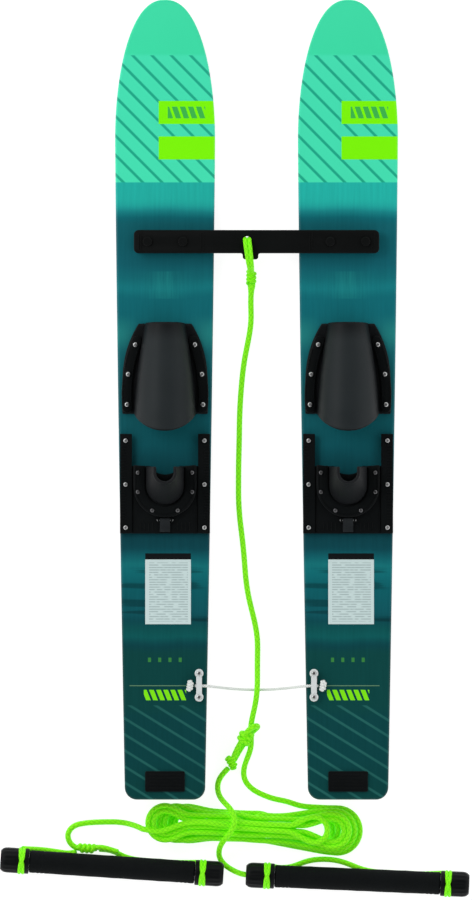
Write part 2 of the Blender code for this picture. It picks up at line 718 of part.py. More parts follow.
HITCH_ROUTE = (     # from the knot over the bar's tab, down the rope hole and back below
    (-0.0076, 0.1840, 0.0120), (-0.0084, 0.1922, 0.0265), (-0.0094, 0.1990, 0.0388),
    (-0.0108, 0.2095, 0.0444), (-0.0122, 0.2210, 0.0443), (-0.0134, 0.2308, 0.0416),
    (-0.0139, 0.2360, 0.0346), (-0.0139, 0.2362, 0.0275), (-0.0134, 0.2325, 0.0212),
    (-0.0120, 0.2240, 0.0182), (-0.0104, 0.2100, 0.0165), (-0.0088, 0.1970, 0.0125),
    (-0.0078, 0.1850, 0.0085),
)
HITCH_KNOT = ((-0.0076, 0.1815, 0.0085), (0.0078, 0.0100, 0.0081))

TOW_ROUTE = (       # from the hitch's knot between the skis to the hank
    (-0.0072, 0.1712, 0.0068), (-0.0078, 0.1600, 0.0047), (-0.0083, 0.1430, ROPE_Z),
    (-0.0081, 0.1174, ROPE_Z), (-0.0120, 0.0880, ROPE_Z), (-0.0176, 0.0587, ROPE_Z),
    (-0.0213, 0.0293, ROPE_Z), (-0.0236, 0.0, ROPE_Z), (-0.0249, -0.0293, ROPE_Z),
    (-0.0254, -0.0587, ROPE_Z), (-0.0261, -0.0880, ROPE_Z), (-0.0264, -0.1174, ROPE_Z),
    (-0.0262, -0.1467, ROPE_Z), (-0.0242, -0.1760, ROPE_Z), (-0.0207, -0.2054, ROPE_Z),
    (-0.0179, -0.2347, ROPE_Z), (-0.0154, -0.2641, ROPE_Z), (-0.0106, -0.2934, ROPE_Z),
    (-0.0035, -0.3227, ROPE_Z), (0.0012, -0.3521, 0.0046), (0.0014, -0.3780, 0.0078),
    (0.0013, -0.4030, 0.0156), (0.0008, -0.4255, 0.0212), (-0.0016, -0.4450, 0.0180),
    (-0.0056, -0.4640, 0.0138), (-0.0082, -0.4800, 0.0131), (-0.0080, -0.4950, 0.0131),
    (-0.0085, -0.5100, 0.0092), (-0.0132, -0.5252, 0.0046), (-0.0184, -0.5420, ROPE_Z),
    (-0.0172, -0.5570, ROPE_Z), (-0.0075, -0.5700, ROPE_Z), (0.0090, -0.5795, ROPE_Z),
    (0.0271, -0.5858, ROPE_Z), (0.0440, -0.5895, ROPE_Z),
)

EYE_ROUTE = (       # the second rope's eye round the tow rope
    (-0.0350, -0.5290, 0.0065), (-0.0324, -0.5155, 0.0060), (-0.0252, -0.5010, 0.0110),
    (-0.0170, -0.4900, 0.0198), (-0.0085, -0.4815, 0.0236), (0.0010, -0.4770, 0.0192),
    (0.0034, -0.4795, 0.0100), (-0.0025, -0.4845, 0.0045), (-0.0100, -0.4925, 0.0042),
    (-0.0165, -0.5040, ROPE_Z), (-0.0250, -0.5185, ROPE_Z), (-0.0330, -0.5290, 0.0055),
)
EYE_SPLICE = ((-0.0362, -0.5315, 0.0066), (0.0062, 0.0110, 0.0062), math.radians(-29))

SECOND_ROUTE = (    # from the splice over the hank's waist into the right handle's end
    (-0.0420, -0.5412, 0.0052), (-0.0500, -0.5500, ROPE_Z), (-0.0566, -0.5620, ROPE_Z),
    (-0.0570, -0.5745, 0.0075), (-0.0520, -0.5855, 0.0190), (-0.0440, -0.5960, 0.0338),
    (-0.0385, -0.6080, 0.0404), (-0.0395, -0.6210, 0.0410), (-0.0445, -0.6330, 0.0410),
    (-0.0515, -0.6432, 0.0397), (-0.0572, -0.6514, 0.0340), (-0.0600, -0.6566, 0.0240),
    (-0.0606, -0.6600, 0.0130), (-0.0596, -0.6648, 0.0060),
    (-0.0560, -0.6725, ROPE_Z), (-0.0480, -0.6810, 0.0048), (-0.0390, -0.6880, 0.0105),
    (-0.0300, -0.6935, 0.0180), (-0.0215, -0.6962, 0.0218), (-0.0140, -0.6968, 0.0224),
)

TAIL_ROUTE = (      # from the hank round to the left bridle's knot
    (-0.1688, -0.6290, ROPE_Z), (-0.1780, -0.6245, ROPE_Z), (-0.1890, -0.6212, ROPE_Z),
    (-0.2032, -0.6196, ROPE_Z), (-0.2223, -0.6197, ROPE_Z), (-0.2398, -0.6220, ROPE_Z),
    (-0.2550, -0.6268, ROPE_Z), (-0.2680, -0.6340, ROPE_Z), (-0.2755, -0.6430, ROPE_Z),
    (-0.2735, -0.6515, 0.0048), (-0.2655, -0.6558, 0.0064),
)
BRIDLE_KNOT = ((-0.2475, -0.6588, 0.0070), (0.0170, 0.0067, 0.0067), math.radians(-3))

BRIDLE_ROUTES = {
    "left_outer": (
        (-0.2655, -0.6640, 0.0055), (-0.2760, -0.6640, ROPE_Z), (-0.2900, -0.6600, ROPE_Z),
        (-0.3050, -0.6560, ROPE_Z), (-0.3170, -0.6543, 0.0068), (-0.3270, -0.6534, 0.0122),
        (-0.3325, -0.6531, 0.0165), (-0.3372, -0.6532, 0.0195),
    ),
    "left_inner": (
        (-0.2300, -0.6596, 0.0062), (-0.2200, -0.6604, 0.0046), (-0.2095, -0.6632, ROPE_Z),
        (-0.2000, -0.6678, ROPE_Z), (-0.1890, -0.6722, ROPE_Z), (-0.1740, -0.6753, ROPE_Z),
        (-0.1500, -0.6775, ROPE_Z), (-0.1200, -0.6793, ROPE_Z), (-0.1000, -0.6795, ROPE_Z),
        (-0.0838, -0.6792, ROPE_Z),
    ),
    "right": (
        (0.0212, -0.6844, ROPE_Z), (0.0290, -0.6862, ROPE_Z), (0.0400, -0.6868, ROPE_Z),
        (0.0500, -0.6856, ROPE_Z), (0.0600, -0.6825, ROPE_Z), (0.0715, -0.6783, ROPE_Z),
        (0.0835, -0.6755, ROPE_Z), (0.0970, -0.6745, ROPE_Z), (0.1110, -0.6752, ROPE_Z),
        (0.1250, -0.6780, ROPE_Z), (0.1390, -0.6829, ROPE_Z), (0.1520, -0.6880, ROPE_Z),
        (0.1680, -0.6920, ROPE_Z), (0.1900, -0.6940, ROPE_Z), (0.2200, -0.6954, ROPE_Z),
        (0.2480, -0.6962, ROPE_Z), (0.2640, -0.6956, ROPE_Z), (0.2766, -0.6950, ROPE_Z),
    ),
}


def hank_mesh():
    """The outer shape of the hank: a long rounded outline with a waist."""
    place, depth, width = HANK_PINCH
    upper, lower, steps = [], [], 30
    for i in range(steps + 1):
        along = 0.5 - 0.5 * math.cos(math.pi * i / steps)
        half = HANK_HALF_LEFT + (HANK_HALF_RIGHT - HANK_HALF_LEFT) * along
        half -= depth * math.exp(-((along - place) / width) ** 2)
        half *= (1 - abs(2 * along - 1) ** 9) ** 0.5
        centre = HANK_LEFT.lerp(HANK_RIGHT, along)
        upper.append((centre.x, centre.y + half))
        lower.append((centre.x, centre.y - half))
    return slab([lower + upper[-2:0:-1]], GAP, HANK_HEIGHT, rounding=HANK_ROUND)


def cap_mesh():
    """A handle's end cap from its inner end at z = 0, with a rope groove and an open mouth."""
    r, end = CAP_RADIUS, CAP_LENGTH
    bore = HANDLE_TUBE[1] + 2 * GAP
    profile = [(r - 0.0045, end), (r - 0.001, end - 0.0035), (r, end - 0.008), (r, CAP_GROOVE[1]),
               (CAP_GROOVE_RADIUS, CAP_GROOVE[1]), (CAP_GROOVE_RADIUS, CAP_GROOVE[0]), (r, CAP_GROOVE[0]),
               (r, 0.001), (r - 0.001, 0), (bore, 0), (bore, end - CAP_MOUTH_LENGTH),
               (CAP_MOUTH_RADIUS, end - CAP_MOUTH_LENGTH), (CAP_MOUTH_RADIUS, end)]
    return turned(profile, closed=True)


def pipe_mesh(inner, outer, length):
    half = 0.5 * length
    return turned([(outer, half), (outer, -half), (inner, -half), (inner, half)], closed=True)


def build_handles(plastic, foam, metal, rope):
    cap, half = cap_mesh(), 0.5 * HANDLE_LENGTH
    inner, outer = HANDLE_TUBE
    tube = pipe_mesh(inner, outer, HANDLE_LENGTH - 2 * (CAP_MOUTH_LENGTH + GAP))
    grip = pipe_mesh(outer + GAP, GRIP_RADIUS, HANDLE_LENGTH - 2 * (CAP_LENGTH + GAP))
    ring = turned(circle((RING_RADIUS, 0), RING_WIRE, 8)[::-1], closed=True)
    groove = half - CAP_LENGTH + 0.5 * sum(CAP_GROOVE)
    for side, (x, y, turn) in HANDLES.items():
        frame = make_empty(f"handle_{side}_axis", None, (x, y, HANDLE_Z), (0, math.pi / 2, turn))
        add_part(f"handle_tube_{side}", tube, metal, frame)
        add_part(f"handle_grip_{side}", grip, foam, frame)
        for place, way in (("left", -1), ("right", 1)):
            flip = (0, 0 if way > 0 else math.pi, 0)
            add_part(f"handle_{side}_cap_{place}", cap, plastic, frame, (0, 0, way * (half - CAP_LENGTH)), flip)
            add_part(f"handle_{side}_ring_{place}", ring, rope, frame, (0, 0, way * groove))


def build_ropes(rope):
    centre, radii = HITCH_KNOT
    hitch = combined(rope_mesh(HITCH_ROUTE), [ellipsoid(radii, centre)], "UNION", True)
    add_part("bar_hitch", hitch, rope)
    add_cord("tow_rope", TOW_ROUTE, ROPE_DIAMETER, rope)
    centre, radii, turn = EYE_SPLICE
    eye = combined(rope_mesh(EYE_ROUTE), [ellipsoid(radii, centre, turn)], "UNION", True)
    add_part("rope_eye", eye, rope)
    add_cord("second_rope", SECOND_ROUTE, ROPE_DIAMETER, rope)
    add_part("rope_hank", hank_mesh(), rope)
    add_cord("tow_rope_tail", TAIL_ROUTE, ROPE_DIAMETER, rope)
    centre, radii, turn = BRIDLE_KNOT
    add_part("bridle_knot", ellipsoid(radii, centre, turn), rope)
    for name, route in BRIDLE_ROUTES.items():
        add_cord(f"bridle_{name}", route, ROPE_DIAMETER, rope)


def main():
    board = make_material("ski_board", (0.02, 0.25, 0.25), 0.3)
    plastic = make_material("black_plastic", (0.015, 0.015, 0.016), 0.5)
    rubber = make_material("black_rubber", (0.03, 0.032, 0.035), 0.6)
    steel = make_material("steel", (0.6, 0.6, 0.6), 0.3, 1.0)
    white = make_material("white_plastic", (0.8, 0.8, 0.8), 0.4)
    cord = make_material("white_cord", (0.75, 0.75, 0.72), 0.8)
    rope = make_material("lime_rope", (0.25, 0.75, 0.01), 0.7)
    foam = make_material("black_foam", (0.02, 0.02, 0.022), 0.8)
    metal = make_material("aluminium", (0.7, 0.7, 0.72), 0.35, 1.0)

    slope, lift = rest_attitude()
    tip_top = ROCKER_RISE + TIP_THICKNESS
    tail_y = -0.5 * (SKI_LENGTH * math.cos(slope) + tip_top * math.sin(slope))
    pair = make_empty("pair_frame", None, (0, tail_y, lift), (-slope, 0, 0))
    frames = {side: make_empty(f"ski_{side}_frame", pair, (way * 0.5 * SKI_SPACING, 0, 0))
              for side, way in (("left", -1), ("right", 1))}
    decks = {side: make_empty(f"deck_{side}_frame", frame, (0, 0, SKI_THICKNESS))
             for side, frame in frames.items()}
    build_boards(frames, pair, plastic, board, steel)
    for side, deck in decks.items():
        build_toe(side, deck, rubber, plastic)
        build_heel(side, deck, rubber, plastic, steel)
    build_tail_cord(decks, white, cord)
    build_handles(plastic, foam, metal, rope)
    build_ropes(rope)


clear_scene()
PARTS = make_collection("water_ski_pair")
main()
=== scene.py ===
"""Looks of a children's water ski pair with its bindings, stabiliser bar, tow rope and handles.

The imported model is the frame. This script lays finer surfaces over its solids, one class for
each sub-assembly, and dresses every piece in a procedural finish. All sizes are in metres.
"""
from __future__ import annotations

import logging
import math
from dataclasses import dataclass
from enum import Enum
from typing import Callable, Sequence

import bmesh
import bpy
import numpy as np
from bpy.types import Material, Node, NodeSocket, Object
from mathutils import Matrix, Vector
from mathutils.geometry import tessellate_polygon


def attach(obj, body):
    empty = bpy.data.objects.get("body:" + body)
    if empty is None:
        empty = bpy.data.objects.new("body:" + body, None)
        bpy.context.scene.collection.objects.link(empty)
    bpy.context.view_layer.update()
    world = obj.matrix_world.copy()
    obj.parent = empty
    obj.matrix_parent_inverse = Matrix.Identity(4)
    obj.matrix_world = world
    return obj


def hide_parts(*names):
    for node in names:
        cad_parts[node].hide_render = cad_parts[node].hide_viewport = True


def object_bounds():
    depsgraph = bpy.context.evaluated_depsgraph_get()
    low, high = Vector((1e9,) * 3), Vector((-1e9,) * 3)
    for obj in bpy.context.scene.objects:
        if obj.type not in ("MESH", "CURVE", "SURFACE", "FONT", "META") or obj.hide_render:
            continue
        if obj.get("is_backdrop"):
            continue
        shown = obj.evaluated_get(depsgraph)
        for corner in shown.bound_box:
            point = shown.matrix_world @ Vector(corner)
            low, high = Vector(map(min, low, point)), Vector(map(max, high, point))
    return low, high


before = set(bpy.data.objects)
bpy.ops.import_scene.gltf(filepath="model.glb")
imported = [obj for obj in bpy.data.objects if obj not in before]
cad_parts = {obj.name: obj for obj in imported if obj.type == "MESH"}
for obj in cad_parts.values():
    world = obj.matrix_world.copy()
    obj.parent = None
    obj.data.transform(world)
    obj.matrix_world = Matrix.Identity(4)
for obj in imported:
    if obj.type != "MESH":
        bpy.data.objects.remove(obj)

LOG = logging.getLogger("water_skis")
Array = np.ndarray
Place = Callable[[Array], Array]
Pair = tuple[float, float]
Triple = tuple[float, float, float]
Colour = Triple
Route = tuple[tuple[float, ...], ...]
ROOT = "skis"
TURN = 2 * math.pi
SKI_LENGTH = 1.170
GAP = 0.0003
LYING = 0.0043


# ---------------------------------------------------------------- shader graph


def tone(red: int, green: int, blue: int) -> Colour:
    """A display colour of 0 to 255 in each channel, as linear light."""
    def channel(value: int) -> float:
        """Undo the display's curve."""
        share = value / 255
        return share / 12.92 if share <= 0.04045 else ((share + 0.055) / 1.055) ** 2.4
    return channel(red), channel(green), channel(blue)


def operator(operation: str, swapped: bool = False) -> Callable[..., "Value"]:
    """A method of Value that adds one Math node.

    Args:
        operation: the node's operation.
        swapped: whether the other number comes first.

    Returns:
        The method, which takes the other number if the operation needs one.
    """
    def method(self: "Value", *others: "Number") -> "Value":
        """Add the node."""
        return self.graph.math(operation, *((*others, self) if swapped else (self, *others)))
    return method


class Value:
    """A number's socket that takes part in Python expressions; each operator adds a Math node.

    Comparisons give 1 or 0, fraction is what lies above the whole number below, and sine takes radians.
    """

    def __init__(self, graph: "Graph", socket: NodeSocket) -> None:
        """Keep the graph and the socket."""
        self.graph = graph
        self.socket = socket

    __add__ = __radd__ = operator("ADD")
    __sub__ = operator("SUBTRACT")
    __rsub__ = operator("SUBTRACT", swapped=True)
    __mul__ = __rmul__ = operator("MULTIPLY")
    __truediv__ = operator("DIVIDE")
    __gt__ = operator("GREATER_THAN")
    __lt__ = operator("LESS_THAN")
    __abs__ = operator("ABSOLUTE")
    fraction = operator("FRACT")
    floor = operator("FLOOR")
    sine = operator("SINE")

    def fade(self, start: float, end: float) -> "Value":
        """0 at start and 1 at end, clamped, and smooth in between."""
        node = self.graph.node("ShaderNodeMapRange", {"interpolation_type": "SMOOTHSTEP"},
                               {0: self, 1: start, 2: end, 3: 0.0, 4: 1.0})
        return Value(self.graph, node.outputs[0])


Number = Value | float


class Graph:
    """One material's nodes, with its Principled shader ready to be fed."""

    def __init__(self, name: str) -> None:
        """Make an empty material with a Principled shader.

        Args:
            name: the material's name.
        """
        self.material = bpy.data.materials.new(name)
        self.material.use_nodes = True
        self.tree = self.material.node_tree
        self.shader = next(n for n in self.tree.nodes if n.type == "BSDF_PRINCIPLED")

    def node(self, kind: str, settings: dict[str, object], inputs: dict[int | str, object]) -> Node:
        """Add any node.

        Args:
            kind: the node's Blender type.
            settings: properties that are set before the sockets.
            inputs: socket name or index to a Value, a socket or a constant.

        Returns:
            The new node.
        """
        node = self.tree.nodes.new(kind)
        for key, value in settings.items():
            if key == "stops":
                self.set_stops(node, value)
            else:
                setattr(node, key, value)
        for key, value in inputs.items():
            self.feed(node.inputs[key], value)
        return node

    def feed(self, socket: NodeSocket, value: object) -> None:
        """Link or set one input socket."""
        if isinstance(value, Value):
            value = value.socket
        if isinstance(value, NodeSocket):
            self.tree.links.new(value, socket)
        elif socket.type == "RGBA" and len(value) == 3:
            socket.default_value = (*value, 1.0)
        else:
            socket.default_value = value

    @staticmethod
    def set_stops(node: Node, stops: Sequence[tuple[float, Colour]]) -> None:
        """Give a Color Ramp its stops, in rising order."""
        elements = node.color_ramp.elements
        for index, (place, colour) in enumerate(stops):
            if index < 2:
                element = elements[index]
                element.position = place
            else:
                element = elements.new(place)
            element.color = (*colour, 1.0)

    def math(self, operation: str, *values: Number) -> Value:
        """One Math node on one, two or three numbers."""
        node = self.node("ShaderNodeMath", {"operation": operation}, dict(enumerate(values)))
        return Value(self, node.outputs[0])

    def mix(self, share: Number, first: object, second: object) -> NodeSocket:
        """The first colour where share is 0, the second where it is 1."""
        node = self.node("ShaderNodeMix", {"data_type": "RGBA"}, {0: share, 6: first, 7: second})
        return node.outputs[2]

    def tint(self, colour: object, amount: Number) -> NodeSocket:
        """The colour made lighter or darker by the factor amount."""
        grey = self.node("ShaderNodeCombineXYZ", {}, {0: amount, 1: amount, 2: amount})
        node = self.node("ShaderNodeVectorMath", {"operation": "MULTIPLY"}, {0: colour, 1: grey.outputs[0]})
        return node.outputs[0]

    def ramp(self, value: Value, stops: Sequence[tuple[float, Colour]]) -> NodeSocket:
        """A colour that follows the stops as value goes from 0 to 1."""
        return self.node("ShaderNodeValToRGB", {"stops": stops}, {0: value}).outputs[0]

    def place(self) -> NodeSocket:
        """The point's place in the object's own frame."""
        return self.node("ShaderNodeTexCoord", {}, {}).outputs["Object"]

    def lay(self) -> tuple[Value, Value]:
        """The piece's own surface map: its two coordinates in metres or turns."""
        uv = self.node("ShaderNodeUVMap", {"uv_map": "lay"}, {})
        parts = self.node("ShaderNodeSeparateXYZ", {}, {0: uv.outputs[0]})
        return Value(self, parts.outputs[0]), Value(self, parts.outputs[1])

    def point(self, x: Number, y: Number, z: Number) -> NodeSocket:
        """A vector of three numbers."""
        return self.node("ShaderNodeCombineXYZ", {}, {0: x, 1: y, 2: z}).outputs[0]

    def noise(self, where: object, scale: float, detail: float = 2.0, rough: float = 0.5) -> Value:
        """Smooth noise from 0 to 1 about 0.5."""
        node = self.node("ShaderNodeTexNoise", {"noise_dimensions": "3D"},
                         {"Vector": where, "Scale": scale, "Detail": detail, "Roughness": rough})
        return Value(self, node.outputs[0])

    def cells(self, where: object, scale: float) -> Value:
        """Distance to the nearest of many scattered points, 0 at each point."""
        node = self.node("ShaderNodeTexVoronoi", {}, {"Vector": where, "Scale": scale})
        return Value(self, node.outputs[0])

    def bump(self, height: Value, depth: float) -> None:
        """Roughen the shading by a height of 0 to 1 times depth in metres."""
        node = self.node("ShaderNodeBump", {}, {"Strength": 1.0, "Distance": depth, "Height": height})
        self.feed(self.shader.inputs["Normal"], node.outputs[0])

    def surface(self, colour: object, rough: Number, metallic: float = 0.0) -> None:
        """Feed the main sockets of the shader."""
        self.feed(self.shader.inputs["Base Color"], colour)
        self.feed(self.shader.inputs["Roughness"], rough)
        self.shader.inputs["Metallic"].default_value = metallic

    def gloss(self, level: float) -> None:
        """Set how strongly the surface mirrors."""
        self.shader.inputs["Specular IOR Level"].default_value = level

    def glow(self, colour: Colour, strength: float) -> None:
        """Let the surface shine a little by itself."""
        self.feed(self.shader.inputs["Emission Color"], colour)
        self.shader.inputs["Emission Strength"].default_value = strength


# ---------------------------------------------------------------- finishes


@dataclass(frozen=True)
class Moulded:
    """Moulded plastic or rubber: a fine grain, faint mottling and softly uneven gloss."""

    name: str
    colour: Colour
    rough: float = 0.45
    grain: float = 900.0
    depth: float = 0.00012
    mottle: float = 0.25
    gloss: float = 0.09

    def material(self) -> Material:
        """Build the finish."""
        g = Graph(self.name)
        where = g.place()
        patches = g.noise(where, 22.0, 3.0)
        fine = g.noise(where, self.grain, 2.0)
        colour = g.tint(self.colour, (1 - self.mottle) + self.mottle * 2 * patches)
        g.surface(colour, self.rough - 0.06 + 0.12 * patches)
        g.gloss(self.gloss)
        g.bump(fine, self.depth)
        return g.material


@dataclass(frozen=True)
class Domed:
    """Moulded rubber that is lighter grey on its crown and darker along its edges and towards one end.

    The piece's surface map runs from 0 to 1 across and from 0 to 1 along it.
    """

    name: str
    colour: Colour
    edge: Colour
    across: Pair
    along: Pair
    rough: float = 0.5

    def material(self) -> Material:
        """Build the finish."""
        g = Graph(self.name)
        across, along = g.lay()
        where = g.place()
        patches = g.noise(where, 22.0, 3.0)
        fine = g.noise(where, 1100.0, 2.0)
        crown = (1 - abs(across - 0.5).fade(*self.across)) * (1 - along.fade(*self.along))
        colour = g.tint(g.mix(crown, self.edge, self.colour), 0.86 + 0.28 * patches)
        g.surface(colour, self.rough - 0.05 + 0.1 * patches)
        g.gloss(0.12)
        g.bump(fine, 0.0001)
        return g.material


@dataclass(frozen=True)
class Foam:
    """Closed-cell grip foam: small pores and a dull surface."""

    name: str
    colour: Colour

    def material(self) -> Material:
        """Build the finish."""
        g = Graph(self.name)
        where = g.place()
        pores = g.cells(where, 1400.0)
        patches = g.noise(where, 30.0, 4.0)
        colour = g.tint(self.colour, 0.7 + 0.6 * patches)
        g.surface(colour, 0.62 + 0.2 * patches)
        g.gloss(0.07)
        g.bump(pores.fade(0.0, 0.45), 0.00025)
        return g.material


@dataclass(frozen=True)
class Metal:
    """Bare metal with fine turning marks."""

    name: str
    colour: Colour
    rough: float = 0.3

    def material(self) -> Material:
        """Build the finish."""
        g = Graph(self.name)
        marks = g.noise(g.place(), 1500.0, 2.0)
        g.surface(g.tint(self.colour, 0.85 + 0.3 * marks), self.rough - 0.08 + 0.16 * marks, 1.0)
        g.bump(marks, 0.00003)
        return g.material


@dataclass(frozen=True)
class Braid:
    """A round braid of strands in both directions, each passing over and under the others.

    With around in turns and along in metres, the two strand families are the lines of constant
    count * around + along / pitch and count * around - along / pitch. The grooves between the strands are painted
    in the darker colour as painted shade, and the ridges in the plain colour; the braid may also glow a little in
    the darker colour, which is painted light.
    """

    name: str
    colour: Colour
    # the darker colour, painted into the grooves between strands as painted shade
    groove_shade: Colour
    count: int = 4
    pitch: float = 0.0078
    depth: float = 0.0005
    glow: float = 0.0

    def material(self) -> Material:
        """Build the finish."""
        g = Graph(self.name)
        around, along = g.lay()
        right = self.count * around + along / self.pitch
        left = self.count * around - along / self.pitch
        over = ((right.floor() + left.floor()) * 0.5).fraction() > 0.25
        ridge_right = (right.fraction() * math.pi).sine()
        ridge_left = (left.fraction() * math.pi).sine()
        ridge = ridge_left + over * (ridge_right - ridge_left)
        fibres = g.noise(g.point(right * 3.0, left * 3.0, along * 40.0), 4.0, 2.0)
        wear = g.noise(g.place(), 14.0, 3.0)
        # painted shade: lighter on the strands' ridges and darker in the grooves, with random fibres and wear mixed
        # in
        lit = ridge.fade(0.0, 0.75) * 0.72 + fibres * 0.16 + wear * 0.24
        g.surface(g.mix(lit, self.groove_shade, self.colour), 0.62 - 0.14 * fibres)
        g.gloss(0.2)
        # painted light: the braid glows a little in its darker colour
        g.glow(self.groove_shade, self.glow)
        g.bump(ridge * 0.85 + fibres * 0.15, self.depth)
        return g.material


@dataclass(frozen=True)
class DeckPrint:
    """The printed and lacquered deck: fades along the ski, with stripes, blocks and a panel, and with painted
    sheen, painted highlights and painted shade laid into its colour.

    The piece's surface map holds the distance across from the centreline and the distance
    along from the tail, both in metres.
    """

    name: str
    length: float
    # lift brightens the whole deck as painted light, for the ski that is lit more brightly
    lift: float = 1.0

    def fades(self) -> list[tuple[float, Colour]]:
        """The ground colour's stops from tail to tip, as shares of the length. Besides the print's own colours, the
        lighter stops at 0.679 and 0.751 m are painted sheen, and the dark stops from 0.367 to 0.400 m are painted
        shade behind the heel.
        """
        # painted sheen at 0.679 and 0.751 m and painted shade from 0.367 to 0.400 m sit among the print's colours
        stops = [
            (0.000, (7, 62, 60)), (0.060, (7, 64, 66)), (0.122, (7, 64, 66)), (0.135, (9, 66, 64)),
            (0.214, (9, 66, 64)), (0.226, (7, 64, 70)), (0.238, (10, 86, 86)), (0.249, (9, 79, 79)),
            (0.261, (8, 70, 77)), (0.272, (12, 82, 90)), (0.310, (9, 90, 97)), (0.331, (14, 105, 111)),
            (0.343, (19, 110, 114)), (0.355, (13, 91, 99)), (0.367, (10, 68, 77)), (0.400, (10, 64, 72)),
            (0.503, (13, 84, 93)), (0.521, (15, 92, 101)), (0.600, (18, 91, 98)), (0.679, (22, 104, 111)),
            (0.710, (14, 103, 112)), (0.738, (14, 104, 113)), (0.751, (20, 119, 125)), (0.765, (16, 104, 112)),
            (0.786, (15, 93, 104)), (0.845, (16, 95, 104)), (0.854, (10, 100, 109)), (0.863, (21, 126, 130)),
            (0.871, (31, 160, 154)), (0.880, (34, 174, 162)), (0.905, (34, 175, 163)),
        ]
        return [(place / self.length, tone(*colour)) for place, colour in stops]

    @staticmethod
    def between(value: Value, low: float, high: float) -> Value:
        """1 where value lies from low to high, else 0."""
        return (value > low) * (value < high)

    def block(self, u: Value, s: Value, across: Pair, along: Pair) -> Value:
        """1 inside a printed rectangle."""
        return self.between(u, *across) * self.between(s, *along)

    def dashes(self, u: Value, s: Value, across: Pair, along: Pair,
               pitch: float, lean: float) -> Value:
        """1 on a row of plain slanted bars inside a rectangle."""
        phase = ((u + (s - along[0]) * lean) / pitch).fraction()
        return self.block(u, s, across, along) * (phase > 0.34)

    def stripes(self, value: Value, pitch: float, width: float, edge: float) -> Value:
        """1 on evenly spaced lines of the given width, with soft edges."""
        phase = abs((value / pitch).fraction() - 0.5)
        half = 0.5 * width / pitch
        return 1 - phase.fade(half - edge / pitch, half + edge / pitch)

    def material(self) -> Material:
        """Build the finish."""
        g = Graph(self.name)
        u, s = g.lay()
        streak = g.noise(g.point(u * 60.0, s * 3.0, 0.0), 5.0, 3.0)
        cloud = g.noise(g.point(u * 6.0, s * 2.5, 3.0), 2.0, 3.0)
        waves = g.noise(g.point(u * 5.0, s * 70.0, 9.0), 1.3, 2.0)
        water = self.between(s, 0.245, 0.345) * waves.fade(0.56, 0.66)
        bent = s / self.length + (cloud - 0.5) * 0.012
        ground = g.ramp(bent, self.fades())
        # painted light: lift brightens this deck's whole ground, together with random streaks and the printed waves
        ground = g.tint(ground, self.lift * (0.86 + 0.28 * streak) * (1 - 0.42 * water))
        glint = self.between(s, 0.735, 0.775) * (1 - abs(u) / 0.05) * streak
        ground = g.mix(glint.fade(0.1, 0.9) * 0.30, ground, tone(45, 165, 155))

        gleam = s.fade(0.652, 0.682) * (1 - s.fade(0.684, 0.716)) * abs(u).fade(0.034, 0.066)
        ground = g.mix(gleam * 0.36, ground, tone(48, 160, 150))

        tail = self.between(s, 0.0, 0.138) * self.stripes(s + u * 0.62, 0.0235, 0.0042, 0.0008)
        # the tail stripes take the same painted brightening
        ground = g.mix(tail * (0.35 + 0.6 * cloud), ground, g.tint(tone(40, 104, 98), self.lift))

        mint = g.tint(g.mix(s.fade(1.088, 1.094), tone(70, 226, 180), tone(61, 222, 168)), 0.97 + 0.06 * cloud)
        lines = self.stripes(s + u - 0.0100, 0.0283, 0.0054, 0.0011) * (s < 1.0905)
        mint = g.mix(lines * 0.90, mint, tone(24, 160, 130))
        colour = g.mix(s.fade(0.9052, 0.9066), ground, mint)

        lime = (self.block(u, s, (-0.0095, 0.09), (0.9912, 1.0248))
                + self.block(u, s, (-0.0095, 0.09), (0.9395, 0.9733)))
        colour = g.mix(lime, colour, tone(126, 250, 6))
        marks = self.dashes(u, s, (0.004, 0.059), (0.9995, 1.0165), 0.0118, 0.35)
        colour = g.mix(marks * 0.85, colour, tone(40, 168, 84))

        bar = self.dashes(u, s, (-0.031, 0.031), (0.1455, 0.1608), 0.0104, 0.4)
        colour = g.mix(bar, colour, tone(128, 232, 22))
        rule = self.block(u, s, (-0.052, 0.046), (0.1662, 0.1674))
        colour = g.mix(rule * 0.65, colour, tone(120, 160, 120))
        dots = self.block(u, s, (-0.0250, 0.0290), (0.2015, 0.2080)) * (((u + 0.0250) / 0.0150).fraction() < 0.30)
        colour = g.mix(dots * 0.8, colour, tone(62, 140, 62))

        panel = self.block(u, s, (-0.0290, 0.0380), (0.2570, 0.3520))
        head = self.block(u, s, (-0.0290, 0.0380), (0.3520, 0.3610))
        rows = self.stripes(s, 0.0036, 0.0015, 0.0004) * self.block(u, s, (-0.0235, 0.0335), (0.2610, 0.3475))
        ragged = g.noise(g.point(u * 30.0, (s / 0.0036).floor(), 0.0), 3.0, 1.0)
        paper = g.mix(rows * ragged.fade(0.38, 0.52) * 0.55, tone(200, 219, 218), tone(120, 142, 144))
        colour = g.mix(panel, colour, paper)
        colour = g.mix(head, colour, tone(16, 20, 22))

        g.surface(colour, 0.30 + 0.10 * streak + panel * 0.15)
        g.gloss(0.14)
        g.shader.inputs["Coat Weight"].default_value = 0.06
        g.shader.inputs["Coat Roughness"].default_value = 0.12
        g.bump(panel + 0.12 * streak, 0.00012)
        return g.material


@dataclass(frozen=True)
class Backdrop:
    """A plain pale matt floor, lit evenly from below as well, so that shadows stay faint."""

    name: str
    colour: Colour
    glow: float

    def material(self) -> Material:
        """Build the finish."""
        g = Graph(self.name)
        g.surface(self.colour, 0.9)
        g.gloss(0.1)
        g.glow((1.0, 1.0, 1.0), self.glow)
        return g.material


MADE: dict[str, Material] = {}


